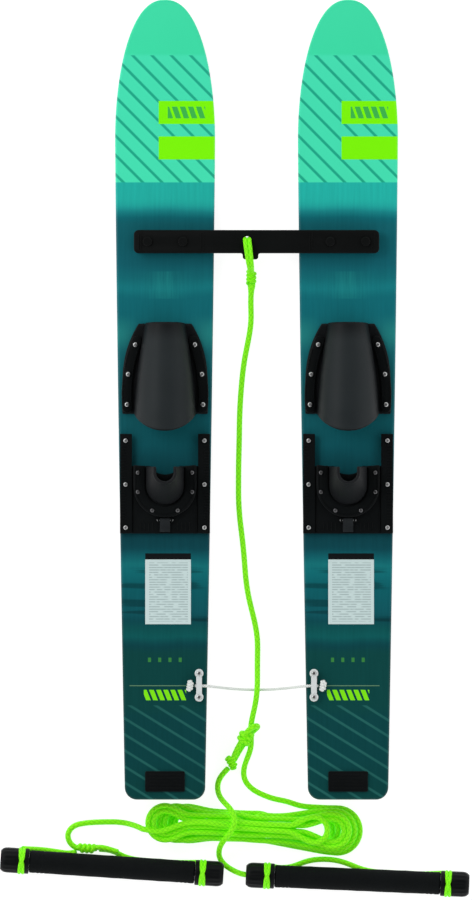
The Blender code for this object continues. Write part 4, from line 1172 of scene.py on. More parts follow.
@dataclass
class ToePiece:
    """The rubber arch over the toes and the two strips that clamp its flanges."""

    front: float = 0.697
    rear: float = 0.567
    tongue: float = 0.027
    wall: float = 0.0035
    half: Pair = (0.0415, 0.0260)
    flange: Pair = (0.0615, 0.0380)
    height: Pair = (0.060, 0.034)
    flange_share: float = 1 / 7
    taper: float = 0.600
    screws: tuple[Pair, ...] = ((0.0436, 0.667), (0.0540, 0.6235), (0.0557, 0.579))
    strip_half: float = 0.0075
    strip_thickness: float = 0.0045
    strip: Pair = (0.5745, 0.6725)
    tooth: Triple = (0.0022, 0.0015, 0.0075 - 0.0015)

    def arch(self, across: Array, along: Array) -> Array:
        """The inner face: two flat flanges, and between them an arch (cos^0.9, sin^0.8) of a half turn.

        Its foot and height shrink towards the front, the flanges' outer edges draw in from taper on, and
        its crown reaches back as a tongue.
        """
        share = self.flange_share
        middle = np.clip((across - share) / (1 - 2 * share), 0, 1)
        crown = np.sin(math.pi * middle)
        rear = self.rear - self.tongue * crown ** 1.5
        s = rear + (self.front - rear) * along
        ahead = np.maximum(0, (s - self.rear) / (self.front - self.rear))
        foot = self.half[0] + (self.half[1] - self.half[0]) * ahead ** 1.6
        far = np.maximum(0, (s - self.taper) / (self.front - self.taper))
        edge = self.flange[0] + (self.flange[1] - self.flange[0]) * far ** 2.6
        height = self.height[0] + (self.height[1] - self.height[0]) * ahead ** 1.3
        turn = math.pi * (1 - middle)
        arch_u = foot * np.sign(np.cos(turn)) * np.abs(np.cos(turn)) ** 0.9
        out = np.clip(np.where(across < 0.5, 1 - across / share, 1 - (1 - across) / share), 0, 1)
        u = np.where(across < 0.5, -1, 1) * (foot + (edge - foot) * out)
        inside = (across > share) & (across < 1 - share)
        return np.stack([np.where(inside, arch_u, u), s,
                         np.where(inside, height * np.maximum(np.sin(turn), 0) ** 0.8, 0)], -1)

    def overlay(self, side: Side) -> None:
        """The rubber sheet with a thicker bead along its rear rim."""
        across, along = np.meshgrid(np.linspace(0, 1, 99), np.linspace(0, 1, 40), indexing="ij")
        bead = 0.0009 * np.exp(-(along / 0.03) ** 2) + 0.0005 * np.exp(-((1 - along) / 0.025) ** 2)
        surface = Surface()
        inner = STANCE.deck(side, (0, 0, GAP))(self.arch(across, along))
        walled(surface, inner, self.wall + bead * (np.abs(across - 0.5) < 0.34))
        finished(surface, f"toe_rubber_{side.word}", Finish.RUBBER,
                 ROOT, "toe_rubber", f"toe_overlay_{side.word}", crease=50)

    def strip_centre(self, s: Array) -> Array:
        """The strip's centreline: the parabola through its three screws."""
        (u0, s0), (u1, s1), (u2, s2) = self.screws
        return (u0 * (s - s1) * (s - s2) / ((s0 - s1) * (s0 - s2)) + u1 * (s - s0) * (s - s2)
                / ((s1 - s0) * (s1 - s2)) + u2 * (s - s0) * (s - s1) / ((s2 - s0) * (s2 - s1)))

    def strip_piece(self, side: Side, word: str, way: int) -> None:
        """One clamping strip with moulded teeth between its screws."""
        s = np.linspace(*self.strip, 33)
        centre = np.stack([self.strip_centre(s), s], 1)
        ahead = unit(np.gradient(centre, axis=0))
        square = np.stack([ahead[:, 1], -ahead[:, 0]], 1)
        lean = [math.degrees(math.atan2(*square[k][::-1])) for k in (0, -1)]
        outline = np.concatenate([
            (centre + square * self.strip_half), arc(centre[-1], self.strip_half, lean[1], lean[1] + 180, 10)[1:-1],
            (centre - square * self.strip_half)[::-1],
            arc(centre[0], self.strip_half, lean[0] + 180, lean[0] + 360, 10)[1:-1]])
        surface = Surface()
        flip = np.array([way, 1])
        place = STANCE.deck(side, (0, 0, self.wall + 2 * GAP))
        plate(surface, outline * flip, 0, self.strip_thickness, place, 0.0010)
        screw_s = np.array([p[1] for p in self.screws])
        for k in range(2, len(s) - 2):
            if np.abs(screw_s - s[k]).min() < 0.0068:
                continue
            for offset in (-self.tooth[2], self.tooth[2]):
                at = (centre[k] + square[k] * offset) * flip
                plate(surface, rounded_box(at, self.tooth[:2], 0.0006), self.strip_thickness - 0.0005,
                      self.strip_thickness + 0.0009, place, 0.0004, steps=2)
        for u, at in self.screws:
            ring = STANCE.deck(side, (way * u, at, self.wall + 2 * GAP + self.strip_thickness - 0.0002))
            turned(surface, np.array([(0.0036, 0), (0.0053, 0), (0.0051, 0.0008), (0.0044, 0.0012),
                                      (0.0038, 0.0008), (0.0036, 0)]), ring, 24)
        finished(surface, f"toe_strip_{side.word}_{word}", Finish.BLACK,
                 ROOT, "binding_plastic", f"toe_plate_{side.word}_{word}")
        heads = Surface()
        for u, at in self.screws:
            height = self.wall + 2 * GAP + self.strip_thickness
            Screw().add(heads, STANCE.deck(side, (way * u, at, height)))
        finished(heads, f"toe_screws_{side.word}_{word}", Finish.STEEL, ROOT, "steel")

    def build(self) -> None:
        """Make both toe pieces."""
        for side in Side:
            self.overlay(side)
            for word, way in ways(side):
                self.strip_piece(side, word, way)


@dataclass
class HeelPiece:
    """The sliding heel: rails, carriage, rubber cup, its clamp, and the lock lever on its pin."""

    rear: float = 0.390
    rail: tuple[float, float, float, float, float] = (0.146, 0.066, 0.0518, 0.0485, 0.0088)
    rail_screws: tuple[float, ...] = (0.0085, 0.0717, 0.1360)
    rail_screw_u: float = 0.0578
    carriage_half: float = 0.0512
    carriage_length: float = 0.099
    carriage_thickness: float = 0.006
    notch: Pair = (0.093, 0.021)
    web: tuple[float, float, float, float] = (0.1145, 0.0278, 319.7, 220.3)
    web_thickness: float = 0.0020
    guide: Triple = (0.0470, 0.046, 0.084)
    lug_round: float = 0.0035
    cup_wall: float = 0.0035
    cup_height: float = 0.062
    cup_base: Triple = (0.0245, 0.0445, 0.097)
    cup_rim: Triple = (0.0125, 0.0740, 0.094)
    cup_flange: Triple = (0.0450, 0.0245, 0.099)
    clamp_inner: Triple = (0.0292, 0.0395, 0.099)
    clamp_outer: Triple = (0.0460, 0.0235, 0.099)
    clamp_thickness: float = 0.0045
    clamp_screws: tuple[Pair, ...] = ((0.0398, 0.0888), (0.0398, 0.0604), (0.0187, 0.0333))
    pin_s: float = 0.0195
    knuckle: float = 0.0032
    lever_half: float = 0.0075
    lever_reach: float = 0.0175
    lever_thickness: float = 0.003
    pin_hole: float = 0.0018
    lug: Pair = (0.0080, 0.0110)

    @staticmethod
    def horseshoe(shape: tuple[Array | float, ...], along: Array, arm: float = 0.2) -> tuple[Array, Array]:
        """A U that opens towards the tip: straight arms, and a half circle between them.

        Args:
            shape: half width, rear and front.
            along: 0 at the left arm's end, 1 at the right arm's end.
            arm: each arm's share of along.

        Returns:
            Across and along the ski.
        """
        half, rear, front = shape
        bend = rear + half
        turn = math.pi * np.clip((along - arm) / (1 - 2 * arm), 0, 1)
        lead = np.clip(np.minimum(along, 1 - along) / arm, 0, 1)
        on_arm = (along < arm) | (along > 1 - arm)
        u = np.where(on_arm, np.sign(along - 0.5) * half, -half * np.cos(turn))
        return u, np.where(on_arm, front + (bend - front) * lead, bend - half * np.sin(turn))

    def deck(self, side: Side, shift: Sequence[float] = (0, 0, 0)) -> Place:
        """The heel's own frame, from the carriage's rear edge."""
        return STANCE.deck(side, (shift[0], shift[1] + self.rear, shift[2] + GAP))

    def rails(self, side: Side) -> None:
        """L-shaped rails with rounded tops, ribs between the screws, and their screws."""
        length, outer, inner, lip, height = self.rail
        low = self.carriage_thickness + GAP
        for word, way in ways(side):
            surface, place = Surface(), self.deck(side)
            profile = np.array([(outer, 0), (outer, height), (lip, height), (lip, low), (inner, low), (inner, 0)])
            outline = profile * np.array([way, 1])
            plate(surface, outline, 0, length, along_s(place), 0.0008)
            for s in np.linspace(0.018, length - 0.018, 27):
                if min(abs(s - at) for at in self.rail_screws) > 0.008:
                    plate(surface, rounded_box((way * (outer - 0.0055), s), (0.0066, 0.0016), 0.0007),
                          height - 0.0004, height + 0.0008, place, 0.0004, steps=2)
            finished(surface, f"rail_{side.word}_{word}", Finish.BLACK,
                     ROOT, "binding_plastic", f"heel_rail_{side.word}_{word}")
            heads = Surface()
            for s in self.rail_screws:
                Screw(0.0034).add(heads, self.deck(side, (way * self.rail_screw_u, s, height)))
            finished(heads, f"rail_screws_{side.word}_{word}", Finish.STEEL, ROOT, "steel")

    def carriage(self, side: Side) -> None:
        """The sliding plate with the web in its notch, guide ribs, rear ribs and the lever's lugs."""
        half, length, thick = self.carriage_half, self.carriage_length, self.carriage_thickness
        notch = arc((0, self.notch[0]), self.notch[1], 180, 360, 28)
        outline = np.concatenate([[(-half, 0), (-half, length), (-self.notch[1], length)], notch,
                                  [(self.notch[1], length), (half, length), (half, 0)]])[::-1]
        surface, place = Surface(), self.deck(side)
        plate(surface, outline, 0, thick, place, 0.0008)
        centre, radius, start, end = self.web
        web = np.concatenate([arc((0, self.notch[0]), self.notch[1] + 0.0002, 180, 360, 28),
                              arc((0, centre), radius, start, end, 16)])
        plate(surface, web, 0, self.web_thickness, place, 0.0004)
        x, middle, reach = self.guide
        for way in (-1, 1):
            plate(surface, rounded_box((way * x, middle), (0.0012, reach), 0.0005), thick - 0.0004,
                  thick + 0.0008, place, 0.0003)
        for x in np.linspace(-0.036, 0.036, 13):
            if abs(x) > 0.013:
                plate(surface, rounded_box((x, 0.0100), (0.0014, 0.0120), 0.0006), thick - 0.0004, thick + 0.0009,
                      place, 0.0004, steps=2)
        crown = self.lug_round
        axis = thick + GAP + self.knuckle
        for way in (-1, 1):
            near, far = sorted((way * self.lug[0], way * self.lug[1]))
            cheek = np.concatenate([[(self.pin_s - crown, thick - 0.002), (self.pin_s + crown, thick - 0.002)],
                                    arc((self.pin_s, axis), crown, 0, 180, 12)])
            bore = arc((self.pin_s, axis), self.pin_hole, 0, 360, 16)[:-1]
            plate(surface, cheek, near, far, across_u(place), 0.0004, [bore])
        finished(surface, f"carriage_{side.word}", Finish.BLACK,
                 f"heel_{side.word}", "binding_plastic", f"heel_carriage_{side.word}")

    def cup_face(self, along: Array, up: Array) -> Array:
        """The cup's inner face: a flat flange, then a wall that leans in by a power of its height."""
        flange = 1 / 7
        low = np.clip(up / flange, 0, 1)
        high = np.clip((up - flange) / (1 - flange), 0, 1)
        shape = []
        for k, power in enumerate((1.6, 1.4, 1.0)):
            edge, base, rim = self.cup_flange[k], self.cup_base[k], self.cup_rim[k]
            shape.append(np.where(up < flange, edge + (base - edge) * low, base + (rim - base) * high ** power))
        u, s = self.horseshoe(tuple(shape), along)
        return np.stack([u, s, self.cup_height * high], -1)

    def cup(self, side: Side) -> None:
        """The rubber cup with a beaded rim."""
        along, up = np.meshgrid(np.linspace(0, 1, 101), np.linspace(0, 1, 43), indexing="ij")
        bead = 0.0012 * np.exp(-((1 - up) / 0.035) ** 2)
        surface = Surface()
        walled(surface, self.deck(side, (0, 0, self.carriage_thickness + GAP))(self.cup_face(along, up)),
               self.cup_wall + bead)
        finished(surface, f"cup_{side.word}", Finish.CUP,
                 f"heel_{side.word}", "toe_rubber", f"heel_cup_{side.word}", crease=50)

    def clamp(self, side: Side) -> None:
        """The horseshoe strip over the cup's flange, with a raised edge and its screws."""
        t = np.linspace(0, 1, 73)
        outer, inner = (np.stack(self.horseshoe(shape, t), 1) for shape in (self.clamp_outer, self.clamp_inner))
        surface = Surface()
        low = self.carriage_thickness + GAP + self.cup_wall + GAP
        place = self.deck(side, (0, 0, low))
        plate(surface, np.concatenate([outer, inner[::-1]]), 0, self.clamp_thickness, place, 0.0010)
        rib_out, rib_in = outer + (inner - outer) * 0.10, outer + (inner - outer) * 0.20
        plate(surface, np.concatenate([rib_out, rib_in[::-1]]), self.clamp_thickness - 0.0004,
              self.clamp_thickness + 0.0008, place, 0.0003, steps=2)
        finished(surface, f"clamp_{side.word}", Finish.BLACK,
                 f"heel_{side.word}", "binding_plastic", f"heel_clamp_{side.word}")
        heads = Surface()
        for u, s in self.clamp_screws:
            for way in (-1, 1):
                Screw(0.0031).add(heads, self.deck(side, (way * u, s, low + self.clamp_thickness)))
        finished(heads, f"clamp_screws_{side.word}", Finish.DARK_STEEL, f"heel_{side.word}", "steel")

    def lever(self, side: Side) -> None:
        """The finger lever round its pin, with a ridged tip."""
        bottom, reach, thick = -self.knuckle, self.lever_reach, self.lever_thickness
        outline = np.concatenate([arc((0, 0), self.knuckle, -90, 120, 16), [
            (-reach + 0.005, bottom + thick), (-reach, bottom + thick + 0.0015), (-reach, bottom + 0.0015),
            (-reach + 0.004, bottom)]])
        place = self.deck(side, (0, self.pin_s, self.carriage_thickness + GAP + self.knuckle))
        surface = Surface()
        plate(surface, outline, -self.lever_half, self.lever_half, across_u(place), 0.0005,
              [arc((0, 0), self.pin_hole, 0, 360, 16)[:-1]])
        for s in (-0.0075, -0.0100):
            plate(surface, rounded_box((0, s), (0.011, 0.0012), 0.0005), bottom + thick - 0.0003,
                  bottom + thick + 0.0009, place, 0.0003, steps=2)
        finished(surface, f"lever_{side.word}", Finish.LEVER,
                 f"lever_{side.word}", "lever_plastic", f"heel_lock_lever_{side.word}")

    def build(self) -> None:
        """Make both heel pieces."""
        for side in Side:
            self.rails(side)
            self.carriage(side)
            self.cup(side)
            self.clamp(side)
            self.lever(side)


# ---------------------------------------------------------------- ropes


def helix(centre: Array, axis: Array, radius: float, pitch: float, turns: float, start: float = 0.0) -> Array:
    """A coil about an axis: centre + axis * pitch * t + radius * (cos(2 pi t) side + sin(2 pi t) top)."""
    axis = unit(np.asarray(axis, float))
    side = unit(np.cross(axis, (0, 0, 1)))
    top = np.cross(side, axis)
    t = np.linspace(-0.5 * turns, 0.5 * turns, int(26 * turns))[:, None]
    a = TURN * t + start
    return np.asarray(centre) + axis * pitch * t + radius * (np.cos(a) * side + np.sin(a) * top)


def routed(route: Route) -> Array:
    """A route's points. One without a height of its own lies on the floor."""
    return np.array([(*point, LYING)[:3] for point in route])


@dataclass(frozen=True)
class Knot:
    """A barrel of close wraps round a core."""

    centre: Triple
    axis: Triple
    radius: float
    strand: float
    turns: float
    core: float = 0.0

    def add(self, surface: Surface) -> None:
        """Add the wraps and the core."""
        pitch = 1.86 * self.strand
        coil = even(helix(np.array(self.centre), np.array(self.axis), self.radius, pitch, self.turns), 0.0009)
        tube(surface, coil, self.strand, self.axis, 12)
        if self.core:
            axis = unit(np.asarray(self.axis, float))
            reach = np.linspace(-0.5, 0.5, 13)[:, None] * pitch * (self.turns + 0.6)
            line = np.asarray(self.centre) + axis * reach
            tube(surface, line, self.core * np.sqrt(1 - (np.linspace(-1, 1, 13) * 0.75) ** 2), around=14)


@dataclass
class Hank:
    """The spare tow rope in flat loops, laid on each other and gathered at a waist.

    A loop has an upper run, a fold at the right, a lower run and a fold at the left. Each turn of the
    rope has a place of its own: a layer and a lane, with folds of its own. On the upper run it moves to
    the next place. A last turn lies on top: it starts narrow, folds at the right, and leaves at the left.
    """

    left: Pair = (-0.1636, -0.619)
    right: Pair = (0.1562, -0.634)
    places: tuple[tuple[int, int], ...] = ((0, 0), (0, 1), (1, 1), (1, 0), (2, 0), (2, 1))
    folds: Route = (
        (-0.102, 0.0252, 0.119, 0.033), (-0.102, 0.0172, 0.0905, 0.0215),
        (-0.118, 0.0172, 0.102, 0.018), (-0.118, 0.0252, 0.115, 0.029),
        (-0.134, 0.0252, 0.1115, 0.0245), (-0.134, 0.0172, 0.1115, 0.0168))
    waists: Route = (
        (0.0196, -0.06, 0.0), (0.0112, -0.06, 0.015),
        (0.0045, -0.07, 0.05), (0.0182, -0.07, 0.02),
        (0.0125, -0.096, 0.058), (0.0042, -0.096, 0.065))
    shifts: tuple[float, ...] = (0.0, -0.001, 0.001)
    top: tuple[float, float, float, float] = (0.044, 0.0042, 0.085, 0.0188)
    over: Route = (
        (0.025, -0.0038), (0.0, -0.0032), (-0.025, -0.0018), (-0.048, 0.0008), (-0.07, 0.003),
        (-0.094, 0.0026), (-0.111, -0.0014), (-0.127, -0.0078), (-0.14, -0.0125), (-0.151, -0.0132),
        (-0.159, -0.0118))
    layer: float = 0.0078
    enter: float = 0.030
    stagger: float = 0.012
    ease: float = 0.016
    weave: float = 0.0006

    def middle(self, x: Array) -> Array:
        """The hank's centreline."""
        return self.left[1] + (x - self.left[0]) * (self.right[1] - self.left[1]) / (self.right[0] - self.left[0])

    def spread(self, x: Array, turn: int) -> Array:
        """Half the loop's width: the left fold's radius, then the waist's, then the right fold's."""
        low, small, high, large = self.folds[turn]
        narrow, start, end = self.waists[turn]
        in_left, in_right = eased((x - low) / (start - low)), eased((x - end) / (high - end))
        return small + (narrow - small) * in_left + (large - narrow) * in_right

    def height(self, turn: int) -> float:
        """The height of a turn's centreline."""
        return LYING + self.layer * self.places[turn][0]

    def run(self, x: Array, turn: int, upper: bool) -> Array:
        """One straight run of a turn, with a slow weave."""
        layer = self.places[turn][0]
        low, _, high, _ = self.folds[turn]
        ends = np.sin(math.pi * np.clip((x - low) / (high - low), 0, 1))
        sway = self.weave * ends * np.sin(x * 62 + layer * 1.9 + (0 if upper else 2.2))
        y = self.middle(x) + self.shifts[layer] * ends + sway + (1 if upper else -1) * self.spread(x, turn)
        return np.stack([x, y, np.full_like(x, self.height(turn))], 1)

    def fold(self, turn: int, right: bool) -> Array:
        """A half circle at one end."""
        low, small, high, large = self.folds[turn]
        centre, radius = (high, large) if right else (low, small)
        angle = np.radians(np.linspace(90, -90, 26)[1:-1] if right else np.linspace(-90, -270, 26)[1:-1])
        x = centre + radius * np.cos(angle)
        y = self.middle(np.float64(centre)) + radius * np.sin(angle)
        return np.stack([x, y, np.full_like(x, self.height(turn))], 1)

    def path(self) -> Array:
        """All turns one after another, from the first fold to the start of the last upper run."""
        parts = []
        for turn, (low, _, high, _) in enumerate(self.folds):
            if turn:
                x = np.linspace(self.folds[turn - 1][0], high, 60)
                share = eased((x - self.enter + self.stagger * turn + self.ease) / (2 * self.ease))[:, None]
                parts.append(self.run(x, turn - 1, True) * (1 - share) + self.run(x, turn, True) * share)
            parts.append(self.fold(turn, True))
            parts.append(self.run(np.linspace(high, low, 60), turn, False))
            parts.append(self.fold(turn, False))
        return np.concatenate(parts)

    def top_strand(self) -> Array:
        """The last turn, which lies on the others and leaves the hank at its left."""
        z = LYING + 3 * self.layer
        last = len(self.places) - 1
        upper = self.run(np.linspace(self.folds[last][0], 0.042, 50), last, True)
        share = eased((upper[:, 0] - self.enter + self.stagger * (last + 1) + self.ease) / (2 * self.ease))
        upper[:, 2] += (z - upper[:, 2]) * share
        start, narrow, centre, radius = self.top
        x = np.linspace(start, centre, 14)
        rise = narrow + (radius - narrow) * eased((x - start) / (centre - start))
        angle = np.radians(np.arange(75, -90, -15))
        fold = np.stack([centre + radius * np.cos(angle), self.middle(np.float64(centre)) + radius * np.sin(angle),
                         np.full(len(angle), z)], 1)
        sides = [np.stack([x, self.middle(x) + way * rise, np.full_like(x, z)], 1) for way in (1, -1)]
        over = [(x, float(self.middle(np.float64(x))) + y, z) for x, y in self.over]
        turn = np.concatenate([upper[-1:], sides[0][1:], fold, sides[1][::-1], over])
        return np.concatenate([upper, smooth_line(turn, 0.003)[1:]])


@dataclass
class Ropes:
    """The tow rope with its hank, the second rope, the bridles and the knots between them."""

    radius: float = 0.004
    hitch: Route = (
        (-0.0076, 0.184, 0.012), (-0.0084, 0.1922, 0.0265), (-0.0094, 0.199, 0.0388),
        (-0.0108, 0.2095, 0.0444), (-0.0122, 0.221, 0.0443), (-0.0134, 0.2308, 0.0416),
        (-0.0139, 0.236, 0.0346), (-0.0139, 0.2362, 0.0275), (-0.0134, 0.2325, 0.0212),
        (-0.012, 0.224, 0.0182), (-0.0104, 0.21, 0.0165), (-0.0088, 0.197, 0.0125),
        (-0.0078, 0.185, 0.0085))
    tow: Route = (
        (-0.0072, 0.1712, 0.0068), (-0.0078, 0.16, 0.0047), (-0.0083, 0.143),
        (-0.0081, 0.1174), (-0.012, 0.088), (-0.0176, 0.0587),
        (-0.0213, 0.0293), (-0.0236, 0.0), (-0.0249, -0.0293),
        (-0.0254, -0.0587), (-0.0261, -0.088), (-0.0264, -0.1174),
        (-0.0262, -0.1467), (-0.0242, -0.176), (-0.0207, -0.2054),
        (-0.0179, -0.2347), (-0.0154, -0.2641), (-0.0106, -0.2934),
        (-0.0035, -0.3227), (0.0012, -0.3521, 0.0046), (0.0014, -0.378, 0.0078),
        (0.0013, -0.403, 0.0156), (0.0008, -0.4255, 0.0212), (-0.0016, -0.445, 0.018),
        (-0.0056, -0.464, 0.0138), (-0.0082, -0.48, 0.0131), (-0.008, -0.495, 0.0131),
        (-0.0085, -0.51, 0.0092), (-0.0132, -0.5252, 0.0046), (-0.0184, -0.542),
        (-0.0172, -0.557), (-0.0075, -0.57), (0.009, -0.5795),
        (0.0271, -0.5858), (0.044, -0.5895),
        (0.064, -0.5956), (0.09, -0.5982))
    eye: Route = (
        (-0.035, -0.529, 0.0085), (-0.03, -0.516, 0.0098), (-0.0232, -0.503, 0.013),
        (-0.0165, -0.491, 0.0198), (-0.009, -0.4825, 0.0236), (-0.001, -0.4785, 0.0192),
        (0.0012, -0.4805, 0.01), (-0.0035, -0.485, 0.0045), (-0.0105, -0.493, 0.0042),
        (-0.018, -0.504), (-0.0262, -0.517), (-0.033, -0.529, 0.0055))
    second: Route = (
        (-0.042, -0.5412, 0.0052), (-0.05, -0.55), (-0.056, -0.561),
        (-0.0568, -0.5725, 0.0064), (-0.0532, -0.583, 0.014), (-0.046, -0.5918, 0.025),
        (-0.0385, -0.6, 0.0345), (-0.0335, -0.6095, 0.0396), (-0.0325, -0.6205, 0.0408),
        (-0.0365, -0.631, 0.04), (-0.0425, -0.6395, 0.036), (-0.0485, -0.647, 0.0285),
        (-0.053, -0.6548, 0.02), (-0.055, -0.663, 0.0128), (-0.0542, -0.6712, 0.0078),
        (-0.0502, -0.6785, 0.0058), (-0.044, -0.6845, 0.0076), (-0.0365, -0.6893, 0.0124),
        (-0.0288, -0.693, 0.0178), (-0.0212, -0.6955, 0.0213), (-0.014, -0.6968, 0.0224))
    tail: Route = (
        (-0.167, -0.6295, 0.0243), (-0.1745, -0.6262, 0.0178), (-0.1815, -0.6238, 0.0114),
        (-0.189, -0.6219, 0.0067), (-0.197, -0.6205, 0.0046), (-0.207, -0.6196),
        (-0.2223, -0.6196), (-0.238, -0.6201), (-0.251, -0.6212),
        (-0.262, -0.6232), (-0.2695, -0.6264), (-0.2747, -0.6319),
        (-0.2769, -0.639), (-0.2759, -0.6465, 0.0044), (-0.2719, -0.6529, 0.0047),
        (-0.2655, -0.657, 0.0056), (-0.2585, -0.6583, 0.007))
    left_outer: Route = (
        (-0.2655, -0.664, 0.0055), (-0.276, -0.6655), (-0.29, -0.664),
        (-0.305, -0.6618), (-0.317, -0.6604, 0.0068), (-0.327, -0.6596, 0.0122),
        (-0.3335, -0.6592, 0.0168), (-0.339, -0.6588, 0.0203), (-0.3435, -0.6585, 0.0222))
    left_inner: Route = (
        (-0.23, -0.6596, 0.0062), (-0.22, -0.6604, 0.0046), (-0.2095, -0.6632),
        (-0.2, -0.6678), (-0.189, -0.6722), (-0.174, -0.6753),
        (-0.15, -0.6775), (-0.12, -0.6793), (-0.1, -0.6795),
        (-0.0838, -0.6792))
    right: Route = (
        (0.0212, -0.6844), (0.029, -0.6862), (0.04, -0.6868),
        (0.05, -0.6856), (0.06, -0.6825), (0.0715, -0.6783),
        (0.0835, -0.6755), (0.097, -0.6745), (0.111, -0.6752),
        (0.125, -0.678), (0.139, -0.6829), (0.152, -0.688),
        (0.168, -0.692), (0.19, -0.694), (0.22, -0.6954),
        (0.248, -0.6962), (0.264, -0.6956), (0.2766, -0.695))
    stub: Route = (
        (-0.237, -0.657, 0.0085), (-0.227, -0.657, 0.012), (-0.215, -0.6598, 0.0128),
        (-0.204, -0.6632, 0.0128))
    hitch_knot: Knot = Knot((-0.0076, 0.18, 0.0088), (0.03, 1, 0.12), 0.0048, 0.003, 3.2, 0.005)
    eye_knots: tuple[Knot, ...] = (
        Knot((-0.0366, -0.5325, 0.0068), (math.sin(math.radians(-29)), math.cos(math.radians(-29)), 0),
             0.004, 0.0027, 3.4, 0.0045),
        Knot((-0.0165, -0.4955, 0.0125), (0.4, 0.92, 0.06), 0.0076, 0.0038, 2.4))
    join_knot: Knot = Knot((-0.249, -0.6585, 0.0076), (1, -0.05, 0), 0.0038, 0.0036, 3.6, 0.005)
    step: float = 0.0015
    braid: tuple[int, float] = (4, 0.0078)

    def lay_cord(self, name: str, line: Array, nodes: Sequence[str],
                 radius: Array | float | None = None) -> None:
        """Args:
            name: the piece's name.
            line: its centreline.
            nodes: the solids that it stands for.
            radius: its radius at each point, where it isn't plain rope.
        """
        surface = Surface()
        tube(surface, line, self.radius if radius is None else radius, around=20, braid=self.braid)
        piece = finished(surface, name, Finish.ROPE, ROOT, "rope", *nodes, crease=60)
        LOG.info("%s is %.3f m long", name, length_of(line))

    def tow_rope(self, knot: Object) -> None:
        """The tow rope from the bar through the hank to the left bridle, as one rope."""
        hank = Hank()
        start = hank.fold(0, True)[:1]
        ahead = hank.run(np.array([0.108, 0.117]), 0, True)
        lead = smooth_line(np.concatenate([routed(self.tow), ahead, start]), self.step)
        rest = np.concatenate([hank.path()[1:], hank.top_strand(), routed(self.tail)])
        line = np.concatenate([lead[:-1], smooth_line(even(np.concatenate([start, rest]), 0.006), self.step)])
        line = even(line, self.step)
        reach = np.arange(len(line)) * self.step
        radius = self.radius * (1 + 0.42 * np.clip(1 - reach / 0.03, 0, 1) ** 0.6)
        radius = np.minimum(radius, line[:, 2] / 1.06)
        self.lay_cord("tow_line", line, ("tow_rope", "rope_hank", "tow_rope_tail"), radius)

    def hitch_loop(self) -> None:
        """The doubled loop over the bar's tab and through its hole, with a wrapped knot below."""
        surface = Surface()
        line = smooth_line(routed(self.hitch), 0.0015)
        for way in (-1, 1):
            spread = 0.0031 * np.sin(math.pi * np.linspace(0.12, 0.88, len(line)))
            twin = line + np.stack([way * spread, np.zeros(len(line)), np.zeros(len(line))], 1)
            tube(surface, twin, 0.0031, (1, 0, 0), 16)
        self.hitch_knot.add(surface)
        finished(surface, "hitch_loop", Finish.ROPE, ROOT, "rope", "bar_hitch", crease=60)

    def eye_loop(self) -> Object:
        """The second rope's eye round the tow rope, with a wrapped splice and a wrap round both its legs."""
        surface = Surface()
        tube(surface, smooth_line(routed(self.eye), 0.0015), self.radius, around=20, braid=self.braid)
        for knot in self.eye_knots:
            knot.add(surface)
        return finished(surface, "eye_loop", Finish.ROPE, ROOT, "rope", "rope_eye", crease=60)

    def joining_knot(self) -> Object:
        """The knot where the tow rope's tail meets the left bridle."""
        surface = Surface()
        self.join_knot.add(surface)
        tube(surface, smooth_line(routed(self.stub), 0.0015), 0.0038, around=16, braid=self.braid)
        return finished(surface, "joining_knot", Finish.ROPE, ROOT, "rope", "bridle_knot", crease=60)

    def build(self) -> None:
        """Make all ropes and knots."""
        self.hitch_loop()
        self.eye_loop()
        knot = self.joining_knot()
        self.tow_rope(knot)
        for name, node, route in (("second_line", "second_rope", self.second),
                                  ("bridle_line_left_outer", "bridle_left_outer", self.left_outer),
                                  ("bridle_line_left_inner", "bridle_left_inner", self.left_inner),
                                  ("bridle_line_right", "bridle_right", self.right)):
            line = smooth_line(routed(route), self.step)
            self.lay_cord(name, line, [node])


